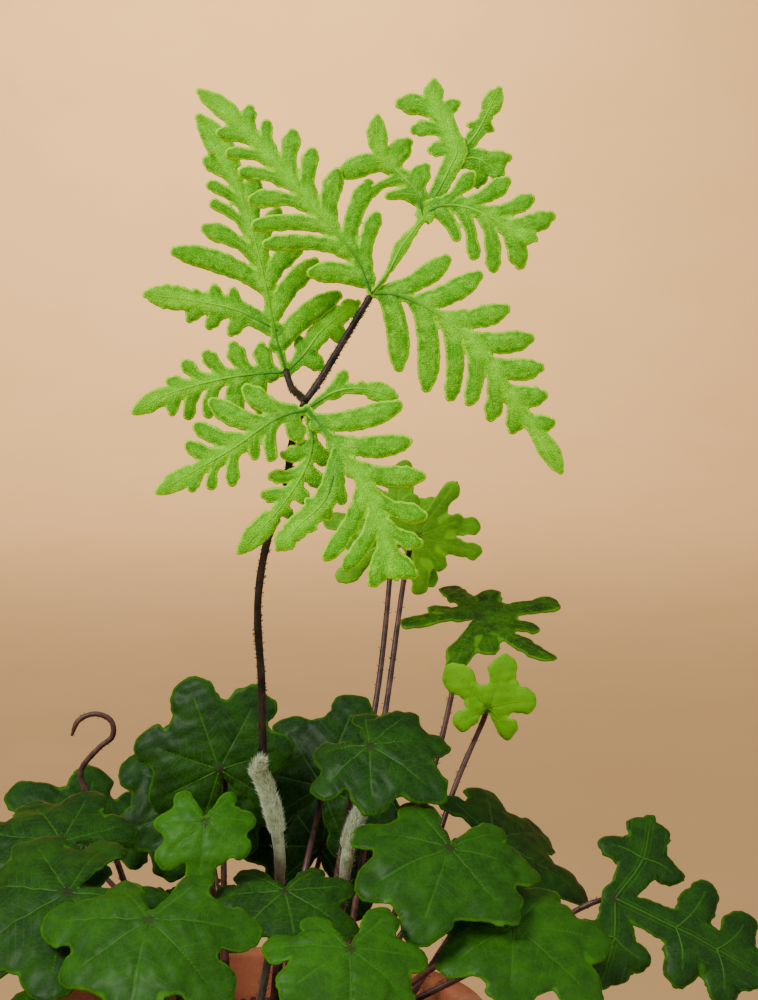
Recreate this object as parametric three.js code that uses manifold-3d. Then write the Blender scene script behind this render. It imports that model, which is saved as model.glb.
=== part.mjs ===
// Antenna fern in a clay pot, in millimetres, +Z up, origin at the middle of the pot's flat base.
// X runs to the plant's right as it is looked at, and Y away from the onlooker.
import * as THREE from 'three';
import Module from 'manifold-3d';
import { mergeVertices } from 'three/addons/utils/BufferGeometryUtils.js';

const wasm = await Module();
wasm.setup();

// Pot
const POT_HEIGHT = 118;
const RIM_RADIUS = 68;
const RIM_BAND = 24;
const RIM_STEP = 4.5;
const BASE_RADIUS = 43;
const WALL = 6;
const FLOOR = 8;
const POT_SIDES = 36;
const DRAIN_RADIUS = 5;
const DRAIN_CIRCLE = 22;
const DRAIN_SIDES = 12;

// Soil
const SOIL_TOP = 106;
const SOIL_RISE = 2.4;
const ROOT_DEPTH = 12;
const HOLE_DEPTH = ROOT_DEPTH + 1;
const FIT = 0.6;

// Plant
const BLADE = 0.8;
const HUB_GAP = 0.35;
const SEED = 17;

// How far each pinna starts behind the hub, and how finely the joined sheets keep their edges.
const HUB_OVERLAP = 0.6;
const JOIN_TOLERANCE = 0.08;

// Lobes: places along them and the share of the half width there, and the least gap between two.
const LONG_LOBE = [[0.3, 0.9], [0.74, 0.83], [0.95, 0.5]];
const BROAD_LOBE = [[0.3, 0.98], [0.74, 0.9], [0.95, 0.54]];
const SHORT_LOBE = [[0.5, 0.85], [0.92, 0.5]];
const ROUND_LOBE = [[0.6, 1], [0.85, 0.88], [0.96, 0.52]];
const PINNA_END = [[0.35, 1], [0.75, 0.75]];
const LOBE_GAP = 0.7;

// Leaning lobes: how far each flank point stays above the one before it, and the last place for one.
const CLEAR_STEP = 0.5;
const LAST_STOP = 0.96;

const COLOURS = {
  clay: new THREE.MeshStandardMaterial({ color: 0xb5532f, roughness: 0.85, metalness: 0 }),
  soil: new THREE.MeshStandardMaterial({ color: 0x2b211a, roughness: 1, metalness: 0 }),
  stipe: new THREE.MeshStandardMaterial({ color: 0x1f1716, roughness: 0.55, metalness: 0 }),
  stalk: new THREE.MeshStandardMaterial({ color: 0x5a3a2c, roughness: 0.6, metalness: 0 }),
  frond: new THREE.MeshStandardMaterial({ color: 0x6bb338, roughness: 0.6, metalness: 0 }),
  leaf: new THREE.MeshStandardMaterial({ color: 0x2f6f22, roughness: 0.45, metalness: 0 }),
  young: new THREE.MeshStandardMaterial({ color: 0xaebf9a, roughness: 0.9, metalness: 0 }),
};

const fern = new THREE.Group();

// Repeatable random numbers from 0 to 1.
function seeded(seed) {
  let state = seed;
  return () => {
    state = (state * 1664525 + 1013904223) % 4294967296;
    return state / 4294967296;
  };
}

// A closed geometry as a solid that can be joined and cut.
function solidOf(geometry) {
  geometry.deleteAttribute('normal');
  geometry.deleteAttribute('uv');
  const merged = mergeVertices(geometry, 1e-4);
  return new wasm.Manifold(new wasm.Mesh({
    numProp: 3,
    vertProperties: new Float32Array(merged.attributes.position.array),
    triVerts: new Uint32Array(merged.index.array),
  }));
}

function geometryOf(solid) {
  const mesh = solid.getMesh();
  const geometry = new THREE.BufferGeometry();
  geometry.setAttribute('position', new THREE.BufferAttribute(new Float32Array(mesh.vertProperties), 3));
  geometry.setIndex(new THREE.BufferAttribute(new Uint32Array(mesh.triVerts), 1));
  return geometry;
}

function addPiece(name, solid, material) {
  const geometry = geometryOf(solid);
  geometry.computeVertexNormals();
  const piece = new THREE.Mesh(geometry, material);
  piece.name = name;
  fern.add(piece);
  return piece;
}

// A turned solid: the profile runs from the axis and back to it.
function turned(profile, sides) {
  const points = profile.map(([r, z]) => new THREE.Vector2(r, z));
  return new THREE.LatheGeometry(points, sides).rotateX(Math.PI / 2);
}

// An upright round peg.
function peg(x, y, low, high, radius, sides) {
  const cylinder = new THREE.CylinderGeometry(radius, radius, high - low, sides);
  return cylinder.rotateX(Math.PI / 2).translate(x, y, (low + high) / 2);
}

// A stem along a smooth curve, with the ring radius running from one end's to the other's.
function stem(points, startRadius, endRadius, sides, steps) {
  const curve = new THREE.CatmullRomCurve3(points.map((p) => new THREE.Vector3(...p)), false, 'centripetal');
  const ring = new THREE.Shape();
  for (let i = 0; i < sides; i += 1) {
    const angle = (i / sides) * Math.PI * 2;
    const x = Math.cos(angle) * startRadius;
    const y = Math.sin(angle) * startRadius;
    if (i === 0) ring.moveTo(x, y);
    else ring.lineTo(x, y);
  }
  const geometry = new THREE.ExtrudeGeometry(ring, { steps, bevelEnabled: false, extrudePath: curve });
  const position = geometry.attributes.position;
  const centres = curve.getSpacedPoints(steps);
  const vertex = new THREE.Vector3();
  for (let i = 0; i < position.count; i += 1) {
    vertex.fromBufferAttribute(position, i);
    let nearest = 0;
    for (let j = 1; j <= steps; j += 1) {
      if (vertex.distanceToSquared(centres[j]) < vertex.distanceToSquared(centres[nearest])) nearest = j;
    }
    const scale = 1 + (endRadius / startRadius - 1) * (nearest / steps);
    vertex.sub(centres[nearest]).multiplyScalar(scale).add(centres[nearest]);
    position.setXYZ(i, vertex.x, vertex.y, vertex.z);
  }
  return solidOf(geometry);
}

// Blades
// A blade is made of pinnae. Each pinna has a rib, a narrow web along it, and finger lobes on both sides
// that end in the given tips. All points are [x, y] in the blade's own plane, and height is above it.

function mix(values, t) {
  const place = Math.min(Math.max(t, 0), 1) * (values.length - 1);
  const low = Math.min(Math.floor(place), values.length - 2);
  return values.length === 1 ? values[0] : values[low] + (values[low + 1] - values[low]) * (place - low);
}

// One finger lobe on its root line, from the notch before it to the notch after it.
// It is a ladder of quads that narrows to the tip, kept clear of the lobes on either side. A lobe that
// leans along its rib has its flanks moved up out of the web, as far as lobe.clear from the rib.
function addLobe(sheet, lobe, before, after, notches, width, stops) {
  const { keep, face } = sheet;
  const { root, along, normal } = lobe;
  const halfWidth = (t, neighbour) => {
    if (!neighbour) return width / 2;
    const here = root.clone().addScaledVector(along, t).sub(neighbour.root);
    const place = Math.min(Math.max(here.dot(neighbour.along) / neighbour.along.lengthSq(), 0), 1);
    const room = here.addScaledVector(neighbour.along, -place).length() / 2 - LOBE_GAP / 2;
    return Math.max(Math.min(width / 2, room), 0.5);
  };
  const flank = (neighbour, way) => stops.map(([t, share], i) => {
    const aside = normal.clone().multiplyScalar(halfWidth(t, neighbour) * share * way);
    if (!lobe.out) return keep(aside.add(root).addScaledVector(along, t));
    const clear = (lobe.clear + CLEAR_STEP * i - aside.dot(lobe.out)) / along.dot(lobe.out);
    return keep(aside.add(root).addScaledVector(along, Math.min(Math.max(t, clear), LAST_STOP)));
  });
  const near = [notches[0], ...flank(before, 1)];
  const far = [notches[1], ...flank(after, -1)];
  for (let k = 1; k < near.length; k += 1) {
    face(near[k - 1], far[k - 1], far[k]);
    face(near[k - 1], far[k], near[k]);
  }
  face(near.at(-1), far.at(-1), keep(root.clone().add(along)));
}

// The flat sheet of one pinna as points and triangles that share their vertices.
function pinnaSheet(pinna) {
  const knots = pinna.rib.map(([x, y]) => new THREE.Vector2(x, y));
  const back = knots[0].clone().sub(knots[1]).setLength(HUB_OVERLAP);
  knots[0].add(back);
  const rib = new THREE.SplineCurve(knots);
  const points = [];
  const triangles = [];
  const at = (t) => rib.getPointAt(Math.min(Math.max(t, 0), 1));
  const across = (t) => {
    const along = rib.getTangentAt(Math.min(Math.max(t, 0), 1));
    return new THREE.Vector2(-along.y, along.x);
  };
  const keep = (point) => points.push(point) - 1;

  // Stations along the rib, where the lobes of either side meet.
  const sides = [
    { tips: pinna.left ?? [], sign: 1, span: pinna.leftSpan ?? pinna.span },
    { tips: pinna.right ?? [], sign: -1, span: pinna.rightSpan ?? pinna.span },
  ];
  for (const side of sides) {
    const step = (side.span[1] - side.span[0]) / Math.max(side.tips.length, 1);
    const marks = [...side.tips.keys(), side.tips.length];
    side.bounds = marks.map((i) => Number((side.span[0] + step * i).toFixed(2)));
  }
  const stations = [...new Set([0, ...sides[0].bounds, ...sides[1].bounds, 1])].sort((a, b) => a - b);
  const ribIndex = new Map(stations.map((t) => [t, keep(at(t))]));
  const ribBetween = (a, b) => stations.filter((t) => t >= a && t <= b).map((t) => ribIndex.get(t));

  for (const { tips, sign, bounds } of sides) {
    const face = (a, b, c) => triangles.push(sign > 0 ? [a, b, c] : [a, c, b]);
    const fan = (ribs, point) => {
      for (let i = 1; i < ribs.length; i += 1) face(ribs[i - 1], ribs[i], point);
    };
    const edge = (t) => keep(at(t).addScaledVector(across(t), mix(pinna.web, t) * sign));
    const starts = bounds.map(edge);
    const axes = tips.map(([x, y], i) => {
      const place = (bounds[i] + bounds[i + 1]) / 2;
      const root = at(place);
      const along = new THREE.Vector2(x, y).sub(root);
      const normal = new THREE.Vector2(-along.y, along.x).normalize().multiplyScalar(sign);
      const out = across(place).multiplyScalar(sign);
      return { root, along, normal, out, clear: mix(pinna.web, place) + CLEAR_STEP };
    });

    // The web below the first lobe.
    const lowest = ribBetween(0, bounds[0]);
    const margin = [...stations.filter((t) => t < bounds[0]).map(edge), starts[0]];
    for (let k = 1; k < lowest.length; k += 1) {
      face(lowest[k - 1], lowest[k], margin[k]);
      face(lowest[k - 1], margin[k], margin[k - 1]);
    }

    axes.forEach((lobe, i) => {
      const ribs = ribBetween(bounds[i], bounds[i + 1]);
      fan(ribs, starts[i]);
      face(ribs.at(-1), starts[i + 1], starts[i]);
      const stops = lobe.along.length() > pinna.lobe * 1.5 ? pinna.longLobe ?? LONG_LOBE : SHORT_LOBE;
      addLobe({ keep, face }, lobe, axes[i - 1], axes[i + 1], [starts[i], starts[i + 1]], pinna.lobe, stops);
    });

    // The end of the pinna beyond the last lobe.
    const last = bounds.at(-1);
    const [waist, shoulder] = PINNA_END.map(([share, width]) => {
      const t = last + (1 - last) * share;
      return keep(at(t).addScaledVector(across(t), pinna.tip * width * sign));
    });
    const highest = ribBetween(last, 1);
    fan(highest, waist);
    face(highest.at(-1), shoulder, waist);
    face(highest[0], waist, starts.at(-1));
  }

  const heights = points.map((p) => {
    let best = 0;
    let nearest = Infinity;
    for (let i = 0; i <= 20; i += 1) {
      const d = at(i / 20).distanceTo(p);
      if (d < nearest) {
        nearest = d;
        best = i / 20;
      }
    }
    return mix(pinna.height, best) - pinna.droop * nearest * nearest;
  });
  return { points, triangles, heights };
}

// The flat sheet of a palm-shaped leaf: lobes all round one hub, with a notch between each two and a
// deep one at the stalk. Angles are in degrees from the leaf's first axis.
function palmSheet(leaf) {
  const points = [new THREE.Vector2(0, 0)];
  const triangles = [];
  const keep = (point) => points.push(point) - 1;
  const face = (a, b, c) => triangles.push([a, c, b]);
  const polar = (angle, reach) => {
    const turn = THREE.MathUtils.degToRad(angle);
    return new THREE.Vector2(Math.cos(turn) * reach, Math.sin(turn) * reach);
  };
  const notches = leaf.notches.map(([angle, reach]) => keep(polar(angle, reach)));
  const lobes = leaf.lobes.map(([angle, reach]) => {
    const root = polar(angle, reach * 0.3);
    const along = polar(angle, reach).sub(root);
    return { root, along, normal: new THREE.Vector2(along.y, -along.x).normalize() };
  });
  lobes.forEach((lobe, i) => {
    face(0, notches[i + 1], notches[i]);
    const between = [notches[i], notches[i + 1]];
    addLobe({ keep, face }, lobe, lobes[i - 1], lobes[i + 1], between, leaf.width, ROUND_LOBE);
  });
  const heights = points.map((p) => {
    const reach = p.length();
    return leaf.dome * Math.sin(Math.atan2(p.y, p.x) * leaf.waves + leaf.phase) * (reach / leaf.size) ** 2
      - leaf.droop * reach * reach;
  });
  return { points, triangles, heights };
}

// The sheet with the blade's thickness, split into triangles alike on both faces.
function thickened(sheet, toSpace, thickness) {
  const { points, triangles, heights } = sheet;
  const count = points.length;
  const positions = [];
  for (const side of [0.5, -0.5]) {
    points.forEach((p, i) => positions.push(...toSpace(p.x, p.y, heights[i] + side * thickness)));
  }
  const index = [];
  const edges = new Map();
  for (const [a, b, c] of triangles) {
    index.push(a, b, c, count + a, count + c, count + b);
    for (const [from, to] of [[a, b], [b, c], [c, a]]) {
      if (edges.has(`${to},${from}`)) edges.delete(`${to},${from}`);
      else edges.set(`${from},${to}`, [from, to]);
    }
  }
  for (const [from, to] of edges.values()) {
    index.push(from, count + from, to, to, count + from, count + to);
  }
  return new wasm.Manifold(new wasm.Mesh({
    numProp: 3,
    vertProperties: new Float32Array(positions),
    triVerts: new Uint32Array(index),
  }));
}

// One blade: its sheets joined into one body, laid on a plane in space.
// The plane has its origin at the hub, its second axis along the leaf, and its third out of the upper face.
function blade(sheets, hub, along, face) {
  const up = new THREE.Vector3(...along).normalize();
  const out = new THREE.Vector3(...face);
  out.addScaledVector(up, -out.dot(up)).normalize();
  const right = new THREE.Vector3().crossVectors(up, out);
  const toSpace = (x, y, h) => [
    hub[0] + right.x * x + up.x * y + out.x * h,
    hub[1] + right.y * x + up.y * y + out.y * h,
    hub[2] + right.z * x + up.z * y + out.z * h,
  ];
  const parts = sheets.map((sheet) => thickened(sheet, toSpace, BLADE));
  return wasm.Manifold.union(parts).asOriginal().simplify(JOIN_TOLERANCE);
}

// Tall fertile frond
// Its blade has three divisions, on black branches that fork at the top of the stipe.
const FORK = [16.6, -19, 293];
const VIEW_TILT = THREE.MathUtils.degToRad(7);
const FROND_UP = [0, Math.sin(VIEW_TILT), Math.cos(VIEW_TILT)];
const FROND_FACE = [0, -Math.cos(VIEW_TILT), Math.sin(VIEW_TILT)];
const FINGER = 6.2;

// A place in the tall frond's own plane, as a point in space.
function onFrond(x, y, h) {
  return [0, 1, 2].map((i) => FORK[i] + [x, 0, 0][i] + FROND_UP[i] * y + FROND_FACE[i] * h);
}

function fingers(rib, left, right, extra = {}) {
  return {
    rib,
    left,
    right,
    span: [0.03, 0.84],
    lobe: FINGER,
    web: [1.1, 1.8, 2.1],
    tip: 2.2,
    height: [0, 0],
    droop: 0.006,
    ...extra,
  };
}

const NEAR = 1.85;
const NEAR_DIVISION = [
  fingers([[0.5, -2.5], [-7, -4.5], [-19.5, -13], [-30.5, -19.5], [-39, -24.5]],
    [[-1, -11.5], [-9, -16.5], [-13.5, -16], [-19.5, -23], [-25.5, -24], [-30.5, -24.5]],
    [[-17, 4], [-26, 0], [-30, -6.5], [-32, -11.5]],
    { height: [NEAR, NEAR + 4, NEAR + 7], leftSpan: [0.03, 0.76], rightSpan: [0.03, 0.68] }),
  fingers([[0.5, -2], [5, -7.5], [14, -19.5], [19.5, -31], [23, -42.5], [24.5, -47.5]],
    [[26.5, -1], [29, -11], [32.5, -20.5], [33, -31.5], [31.5, -39], [30, -47.5]],
    [[5.5, -43], [10.5, -45.5], [18, -50]],
    { height: [NEAR + 0.15, NEAR + 5, NEAR + 8], leftSpan: [0.02, 0.92], rightSpan: [0.44, 0.9] }),
  fingers([[9.5, -14], [5.5, -26.5], [-1.5, -33.5], [-7, -39.5]],
    [[10.5, -28], [6.5, -32.5], [3.5, -34.5]], [[0, -26.5]],
    { height: [NEAR + 2.8, NEAR + 6], web: [2.4, 3.2, 3], tip: 3, lobe: 5, rightSpan: [0.4, 0.6] }),
  fingers([[0.8, -2.5], [2, -11.5], [0, -18.5], [-6.5, -28.5], [-17.5, -40.5]],
    [[7.5, -17], [5.5, -23], [1.5, -27.5], [-3, -31.5]], [[-6.5, -15], [-10, -20.5], [-12, -25.5]],
    { height: [NEAR - 0.1, NEAR - 1, NEAR], lobe: 5, tip: 3, leftSpan: [0.15, 0.7], rightSpan: [0.15, 0.6] }),
  fingers([[0.8, -2], [8, 2.5], [14.5, 3.5], [24.5, 1.5]], [[11, 8.5], [15.5, 5.5]], [],
    { height: [NEAR - 0.15, NEAR - 2, NEAR - 3], lobe: 5, leftSpan: [0.2, 0.7] }),
];

const MIDDLE_DIVISION = [
  fingers([[18, 29], [14, 38.5], [2.5, 52], [-9, 65.5], [-21, 78], [-28.5, 83.5]],
    [[0.5, 35], [-11.5, 42.5], [-14.5, 47.5], [-15.5, 54.5], [-18, 62], [-21.5, 67], [-24, 72.5]],
    [[19.5, 51.5], [17.5, 60], [9, 63], [2, 68.5], [-3, 73.5], [-10.5, 76], [-15, 80]],
    { height: [0, 3, 1], leftSpan: [0.01, 0.78], rightSpan: [0.03, 0.81] }),
  fingers([[18, 29], [22, 34], [26, 41.5], [31.5, 49], [34.5, 54]], [], [],
    { web: [1.2, 1.2, 2, 1.3, 2.4], height: [0.15, 1, 0], span: [0.6, 0.8] }),
  fingers([[32, 50], [36, 57], [39, 63], [41, 68], [39, 72], [37.5, 76.5], [35, 80.5], [35, 87]],
    [[33, 68.5], [28.5, 74], [24.5, 81.5]], [[42, 81.5]],
    { height: [0, -2, -4], web: [1.6, 3, 2.6], leftSpan: [0.42, 0.85], rightSpan: [0.68, 0.84] }),
  fingers([[32, 49.5], [30, 56.5], [26.5, 60.5], [21.5, 65.5], [19.5, 71], [19.5, 76.5]],
    [[21, 55.5], [16.5, 56], [8.5, 61]], [[33, 64.5], [28.5, 71]], { height: [0.2, 1, 3], span: [0.1, 0.7] }),
  fingers([[32, 50], [36, 52.5], [42.5, 52.5], [49, 50], [55, 46.5], [62, 43.5]],
    [[46, 62], [55.5, 60], [62, 55], [67.5, 50]],
    [[42, 43], [46, 38], [51, 34.5], [58.5, 35.5]],
    { height: [-0.1, 2, 3] }),
  fingers([[40, 65], [46, 66], [50, 64], [53.5, 62]], [[56, 66.5]], [[46.5, 58]],
    { height: [-2.2, -3.5, -4.5], span: [0.2, 0.8], web: [2.4, 3, 2], lobe: 5.4 }),
  fingers([[41, 66], [46.5, 73], [52.5, 84.5]], [[43.5, 75]], [[51.5, 74]],
    { height: [-2.4, -4, -2], span: [0.25, 0.7], web: [1.8, 2, 1.6], lobe: 4.6 }),
  fingers([[18, 29], [25, 28.5], [36.5, 23], [47, 14], [55, 2], [65.5, -13], [69, -19]],
    [[39.5, 39], [48, 34.5], [55.5, 25], [62, 17], [64.5, 9], [65.5, 1.5], [67.5, -6]],
    [[25.5, 8], [33, 2.5], [39.5, 0], [44.5, -1.5], [50, -5.5], [56, -9]],
    { height: [-0.15, 3, 2], leftSpan: [0.01, 0.84], rightSpan: [0.01, 0.76] }),
];

const FAR = -18;
const FAR_DIVISION = [
  fingers([[-5.5, 8.5], [-8, 17], [-12.5, 38], [-17.5, 56], [-24, 71], [-29.5, 79]],
    [[-37.5, 42.5], [-29, 49], [-26.5, 56], [-27.5, 61], [-28.5, 68]],
    [[9.5, 31], [3, 40], [-0.5, 45.5], [-7.5, 54], [-14, 63.5]],
    { height: [FAR, FAR + 2, FAR], tip: 3, leftSpan: [0.28, 0.77], rightSpan: [0.05, 0.62] }),
  fingers([[-8, 20], [-18.5, 25.5], [-29.5, 28], [-44, 30]],
    [[-21.5, 18.5], [-27.5, 20.5], [-33, 22.5]], [[-21, 32], [-26, 33], [-31, 31.5]],
    { height: [FAR + 0.4, FAR + 3], web: [2.4, 3, 2.4], tip: 2.8, lobe: 4.6,
      leftSpan: [0.17, 0.65], rightSpan: [0.2, 0.68] }),
  fingers([[-6.5, 8.5], [-15.5, 8], [-24.5, 6.5], [-39.5, 2], [-47.5, -2.5]],
    [[-13, -3], [-20, -5.5], [-27.5, -4], [-33, -4.5], [-37.5, -3.5]],
    [[-13, 17], [-21, 17], [-28.5, 14.5], [-34.5, 11.5], [-39, 6.5]],
    { height: [FAR - 0.1, FAR + 2], leftSpan: [0.08, 0.75], rightSpan: [0.02, 0.66] }),
  fingers([[-5.5, 8.5], [-0.5, 14], [3.5, 19.5], [8.5, 24], [14, 28]],
    [[-2.5, 19], [5.5, 29]], [[5, 9.5], [10.5, 16.5]],
    { height: [FAR - 0.2, FAR - 3], lobe: 5, web: [1.4, 3, 2.4] }),
];

// Black stipe and its two branches, in one body.
const STIPE_ROOT = [8, -3];
const STIPE_FOOT = 1.25;
const STIPE_HEAD = 1;
const BRANCH_MIDDLE = [[0, 0, 0.2], [3.6, 5, -0.6], [10.5, 16.5, -0.8], [17.3, 27.75, -0.2]];
const BRANCH_FAR = [[0, 0, 0.2], [-1.4, 1.6, -4], [-4.2, 4.6, -13], [-5.6, 9, FAR + 1.4]];

function stipe() {
  const rise = [
    ...footing(STIPE_ROOT), [8, -1.5, 165], [4.5, -2, 188], [4, -6, 214],
    [3.2, -9.5, 236], [6, -12.5, 254], onFrond(-5.2, -24, -3.4), onFrond(-3.8, -12.5, -3),
    onFrond(-1.4, -4, -1.8), onFrond(0, 0, 0.2),
  ];
  return wasm.Manifold.union([
    stem(rise, STIPE_FOOT, STIPE_HEAD, 7, 30),
    stem(BRANCH_MIDDLE.map((p) => onFrond(...p)), STIPE_HEAD, 0.95, 7, 7),
    stem(BRANCH_FAR.map((p) => onFrond(...p)), STIPE_HEAD, 0.9, 7, 5),
  ]);
}

addPiece('tall_frond_stipe', stipe(), COLOURS.stipe);
const DIVISIONS = { near: NEAR_DIVISION, middle: MIDDLE_DIVISION, far: FAR_DIVISION };
for (const [name, pinnae] of Object.entries(DIVISIONS)) {
  const division = blade(pinnae.map(pinnaSheet), FORK, FROND_UP, FROND_FACE);
  addPiece(`tall_frond_blade_${name}`, division, COLOURS.frond);
}

// Sterile leaves
// Each has a hub on its stalk and seven broad round lobes about it, with shallow notches between them and a
// deep one at the stalk.
const LOBE_ANGLES = [-50, -6, 41, 90, 139, 186, 230];
const LOBE_REACH = [0.76, 0.88, 0.93, 1, 0.93, 0.88, 0.76];
const NOTCH_REACH = [0.24, 0.58, 0.66, 0.72, 0.72, 0.66, 0.58, 0.24];

// Notches lie halfway between the lobes, and the first and last at the stalk.
function notchesOf(angles, reaches) {
  return reaches.map((reach, i) => {
    if (i === 0) return [angles[0] - 20, reach];
    if (i === angles.length) return [angles[i - 1] + 20, reach];
    return [(angles[i - 1] + angles[i]) / 2, reach];
  });
}

function roundLeaf(size, random) {
  const angles = LOBE_ANGLES.map((angle) => angle + (random() - 0.5) * 7);
  const reaches = LOBE_REACH.map((reach) => size * reach * (1 + (random() - 0.5) * 0.16));
  return [palmSheet({
    lobes: angles.map((angle, i) => [angle, reaches[i]]),
    notches: notchesOf(angles, NOTCH_REACH.map((reach) => size * reach)),
    width: size * 0.54,
    size,
    dome: size * 0.05,
    waves: 3,
    phase: random() * 6,
    droop: 0.2 / size,
  })];
}

function longLeaf(size) {
  const points = (list) => list.map(([x, y]) => [x * size, y * size]);
  const web = [size * 0.1, size * 0.15, size * 0.13];
  const shape = { lobe: size * 0.24, longLobe: BROAD_LOBE, web, tip: size * 0.12, droop: 0.004 };
  const pinnae = [
    {
      ...shape,
      rib: points([[0, 0], [0.02, 0.5], [0, 1]]),
      left: points([[-0.4, 0.5], [-0.34, 0.8]]),
      right: points([[0.34, 0.56], [0.3, 0.84]]),
      span: [0.25, 0.8],
      height: [0, 2, -3],
    },
    {
      ...shape,
      rib: points([[0, 0], [-0.3, 0.06], [-0.62, 0.02]]),
      left: points([[-0.3, -0.22]]),
      right: points([[-0.34, 0.34]]),
      span: [0.25, 0.75],
      height: [0.15, 1, -3],
    },
    {
      ...shape,
      rib: points([[0, 0], [0.24, 0.08], [0.5, 0.12]]),
      left: points([[0.28, 0.34]]),
      right: points([[0.26, -0.14]]),
      span: [0.25, 0.75],
      height: [-0.15, 1, -3],
    },
  ];
  return pinnae.map(pinnaSheet);
}

// Where each sterile leaf sits: hub, the way its middle lobe points, the way its upper face looks, its size.
const LEAVES = {
  top_left: { hub: [-9, 16, 184], along: [-0.35, 0.1, 0.9], face: [-0.1, -0.9, 0.5], size: 28 },
  top_back: { hub: [20, 34, 175], along: [0.3, 0.3, 0.8], face: [0, -0.8, 0.6], size: 29 },
  top_right: { hub: [34, 3, 194], along: [0.5, -0.4, -0.2], face: [0, -0.6, 0.8], size: 26 },
  left_back: { hub: [-53, 4, 166], along: [-0.9, 0.15, 0.1], face: [-0.3, -0.4, 0.85], size: 30 },
  left_front: { hub: [-48, -30, 160], along: [-0.85, -0.45, -0.35], face: [-0.3, -0.6, 0.75], size: 38 },
  front_small: { hub: [-11, -22, 178], along: [0, -0.6, -0.7], face: [0, -0.75, 0.6], size: 18 },
  front_left: { hub: [-24, -54, 159], along: [-0.1, -0.75, -0.5], face: [-0.1, -0.6, 0.8], size: 33 },
  front_middle: { hub: [29, -61, 153], along: [0, -0.7, -0.5], face: [0.1, -0.6, 0.75], size: 25 },
  front_right: { hub: [56, -24, 171], along: [-0.2, -0.75, -0.4], face: [0.1, -0.6, 0.8], size: 33 },
  right_back: { hub: [70, 24, 162], along: [0.8, 0.1, -0.4], face: [0.4, -0.4, 0.85], size: 32 },
  right_low: { hub: [73, -34, 152], along: [0.7, -0.5, -0.45], face: [0.4, -0.7, 0.65], size: 30 },
  back_right: { hub: [19, 55, 152], along: [0.15, 0.25, 0.9], face: [0, -0.9, 0.35], size: 31 },
  back_middle: { hub: [-16, 52, 166], along: [-0.2, 0.5, 0.8], face: [0, -0.75, 0.65], size: 33 },
  back_left: { hub: [-52, 60, 152], along: [-0.6, 0.3, 0.5], face: [-0.1, -0.5, 0.8], size: 30 },
  low_left: { hub: [-70, 4, 142], along: [-0.9, 0.05, -0.4], face: [-0.4, -0.1, 0.9], size: 31 },
  low_front_left: { hub: [-56, -64, 131], along: [-0.5, -0.7, -0.5], face: [-0.4, -0.6, 0.75], size: 30 },
  low_front: { hub: [2, -86, 127], along: [0.1, -0.85, -0.5], face: [0, -0.6, 0.8], size: 28 },
  low_back_right: {
    hub: [68, 56, 138], along: [0.6, 0.7, -0.4], face: [0.4, 0.4, 0.85], size: 30, root: [44, 12],
  },
  low_back_left: { hub: [-30, 80, 132], along: [-0.3, 0.85, -0.5], face: [-0.2, 0.5, 0.85], size: 29 },
  inner: { hub: [11, -28, 160], along: [0.1, -0.8, -0.35], face: [0, -0.55, 0.8], size: 24 },
};
const FAR_LEAF = {
  hub: [103, -2, 151], along: [0.9, -0.1, -0.42], face: [0.1, -0.75, 0.65], size: 48, root: [36, -2],
};

const STALK_SIDES = 5;
const STALK_FOOT = 1.1;
const STALK_HEAD = 0.8;
const SHORT_STEPS = 9;
const LONG_STEPS = 14;
const CROWN_RADIUS = 9;
const CROWN_SPREAD = 0.3;
const stalkRoots = [[...STIPE_ROOT, STIPE_FOOT]];

// The straight foot of a stem in its hole.
function footing(root) {
  return [-ROOT_DEPTH, 1.5, 8].map((height) => [root[0], root[1], SOIL_TOP + height]);
}

// A leaf's stalk: straight out of the soil, arching out, and ending just under the hub.
function stalkPoints(hub, along, face, root, lift) {
  const up = new THREE.Vector3(...along).normalize();
  const out = new THREE.Vector3(...face);
  out.addScaledVector(up, -out.dot(up)).normalize();
  const end = new THREE.Vector3(...hub).addScaledVector(out, -(BLADE / 2 + HUB_GAP + STALK_HEAD * 0.6));
  const below = end.clone().addScaledVector(out, -5).addScaledVector(up, -4);
  const middle = [
    root[0] + (hub[0] - root[0]) * 0.42,
    root[1] + (hub[1] - root[1]) * 0.42,
    SOIL_TOP + (hub[2] - SOIL_TOP) * lift,
  ];
  return [...footing(root), middle, below.toArray(), end.toArray()];
}

function rootOf(hub) {
  const reach = Math.hypot(hub[0], hub[1]) || 1;
  const radius = CROWN_RADIUS + CROWN_SPREAD * reach;
  return [(hub[0] / reach) * radius, (hub[1] / reach) * radius];
}

const random = seeded(SEED);
for (const [name, { hub, along, face, size, root }] of Object.entries(LEAVES)) {
  const foot = root ?? rootOf(hub);
  stalkRoots.push([...foot, STALK_FOOT]);
  const points = stalkPoints(hub, along, face, foot, 0.62);
  const stalk = stem(points, STALK_FOOT, STALK_HEAD, STALK_SIDES, SHORT_STEPS);
  addPiece(`leaf_${name}_stalk`, stalk, COLOURS.stalk);
  addPiece(`leaf_${name}_blade`, blade(roundLeaf(size, random), hub, along, face), COLOURS.leaf);
}

// The far right leaf is long, and cut into a middle and two side divisions.
{
  const { hub, along, face, size, root } = FAR_LEAF;
  stalkRoots.push([...root, STALK_FOOT]);
  const points = stalkPoints(hub, along, face, root, 0.55);
  const stalk = stem(points, STALK_FOOT, STALK_HEAD, STALK_SIDES, LONG_STEPS);
  addPiece('leaf_far_right_stalk', stalk, COLOURS.stalk);
  addPiece('leaf_far_right_blade', blade(longLeaf(size), hub, along, face), COLOURS.leaf);
}

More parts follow.
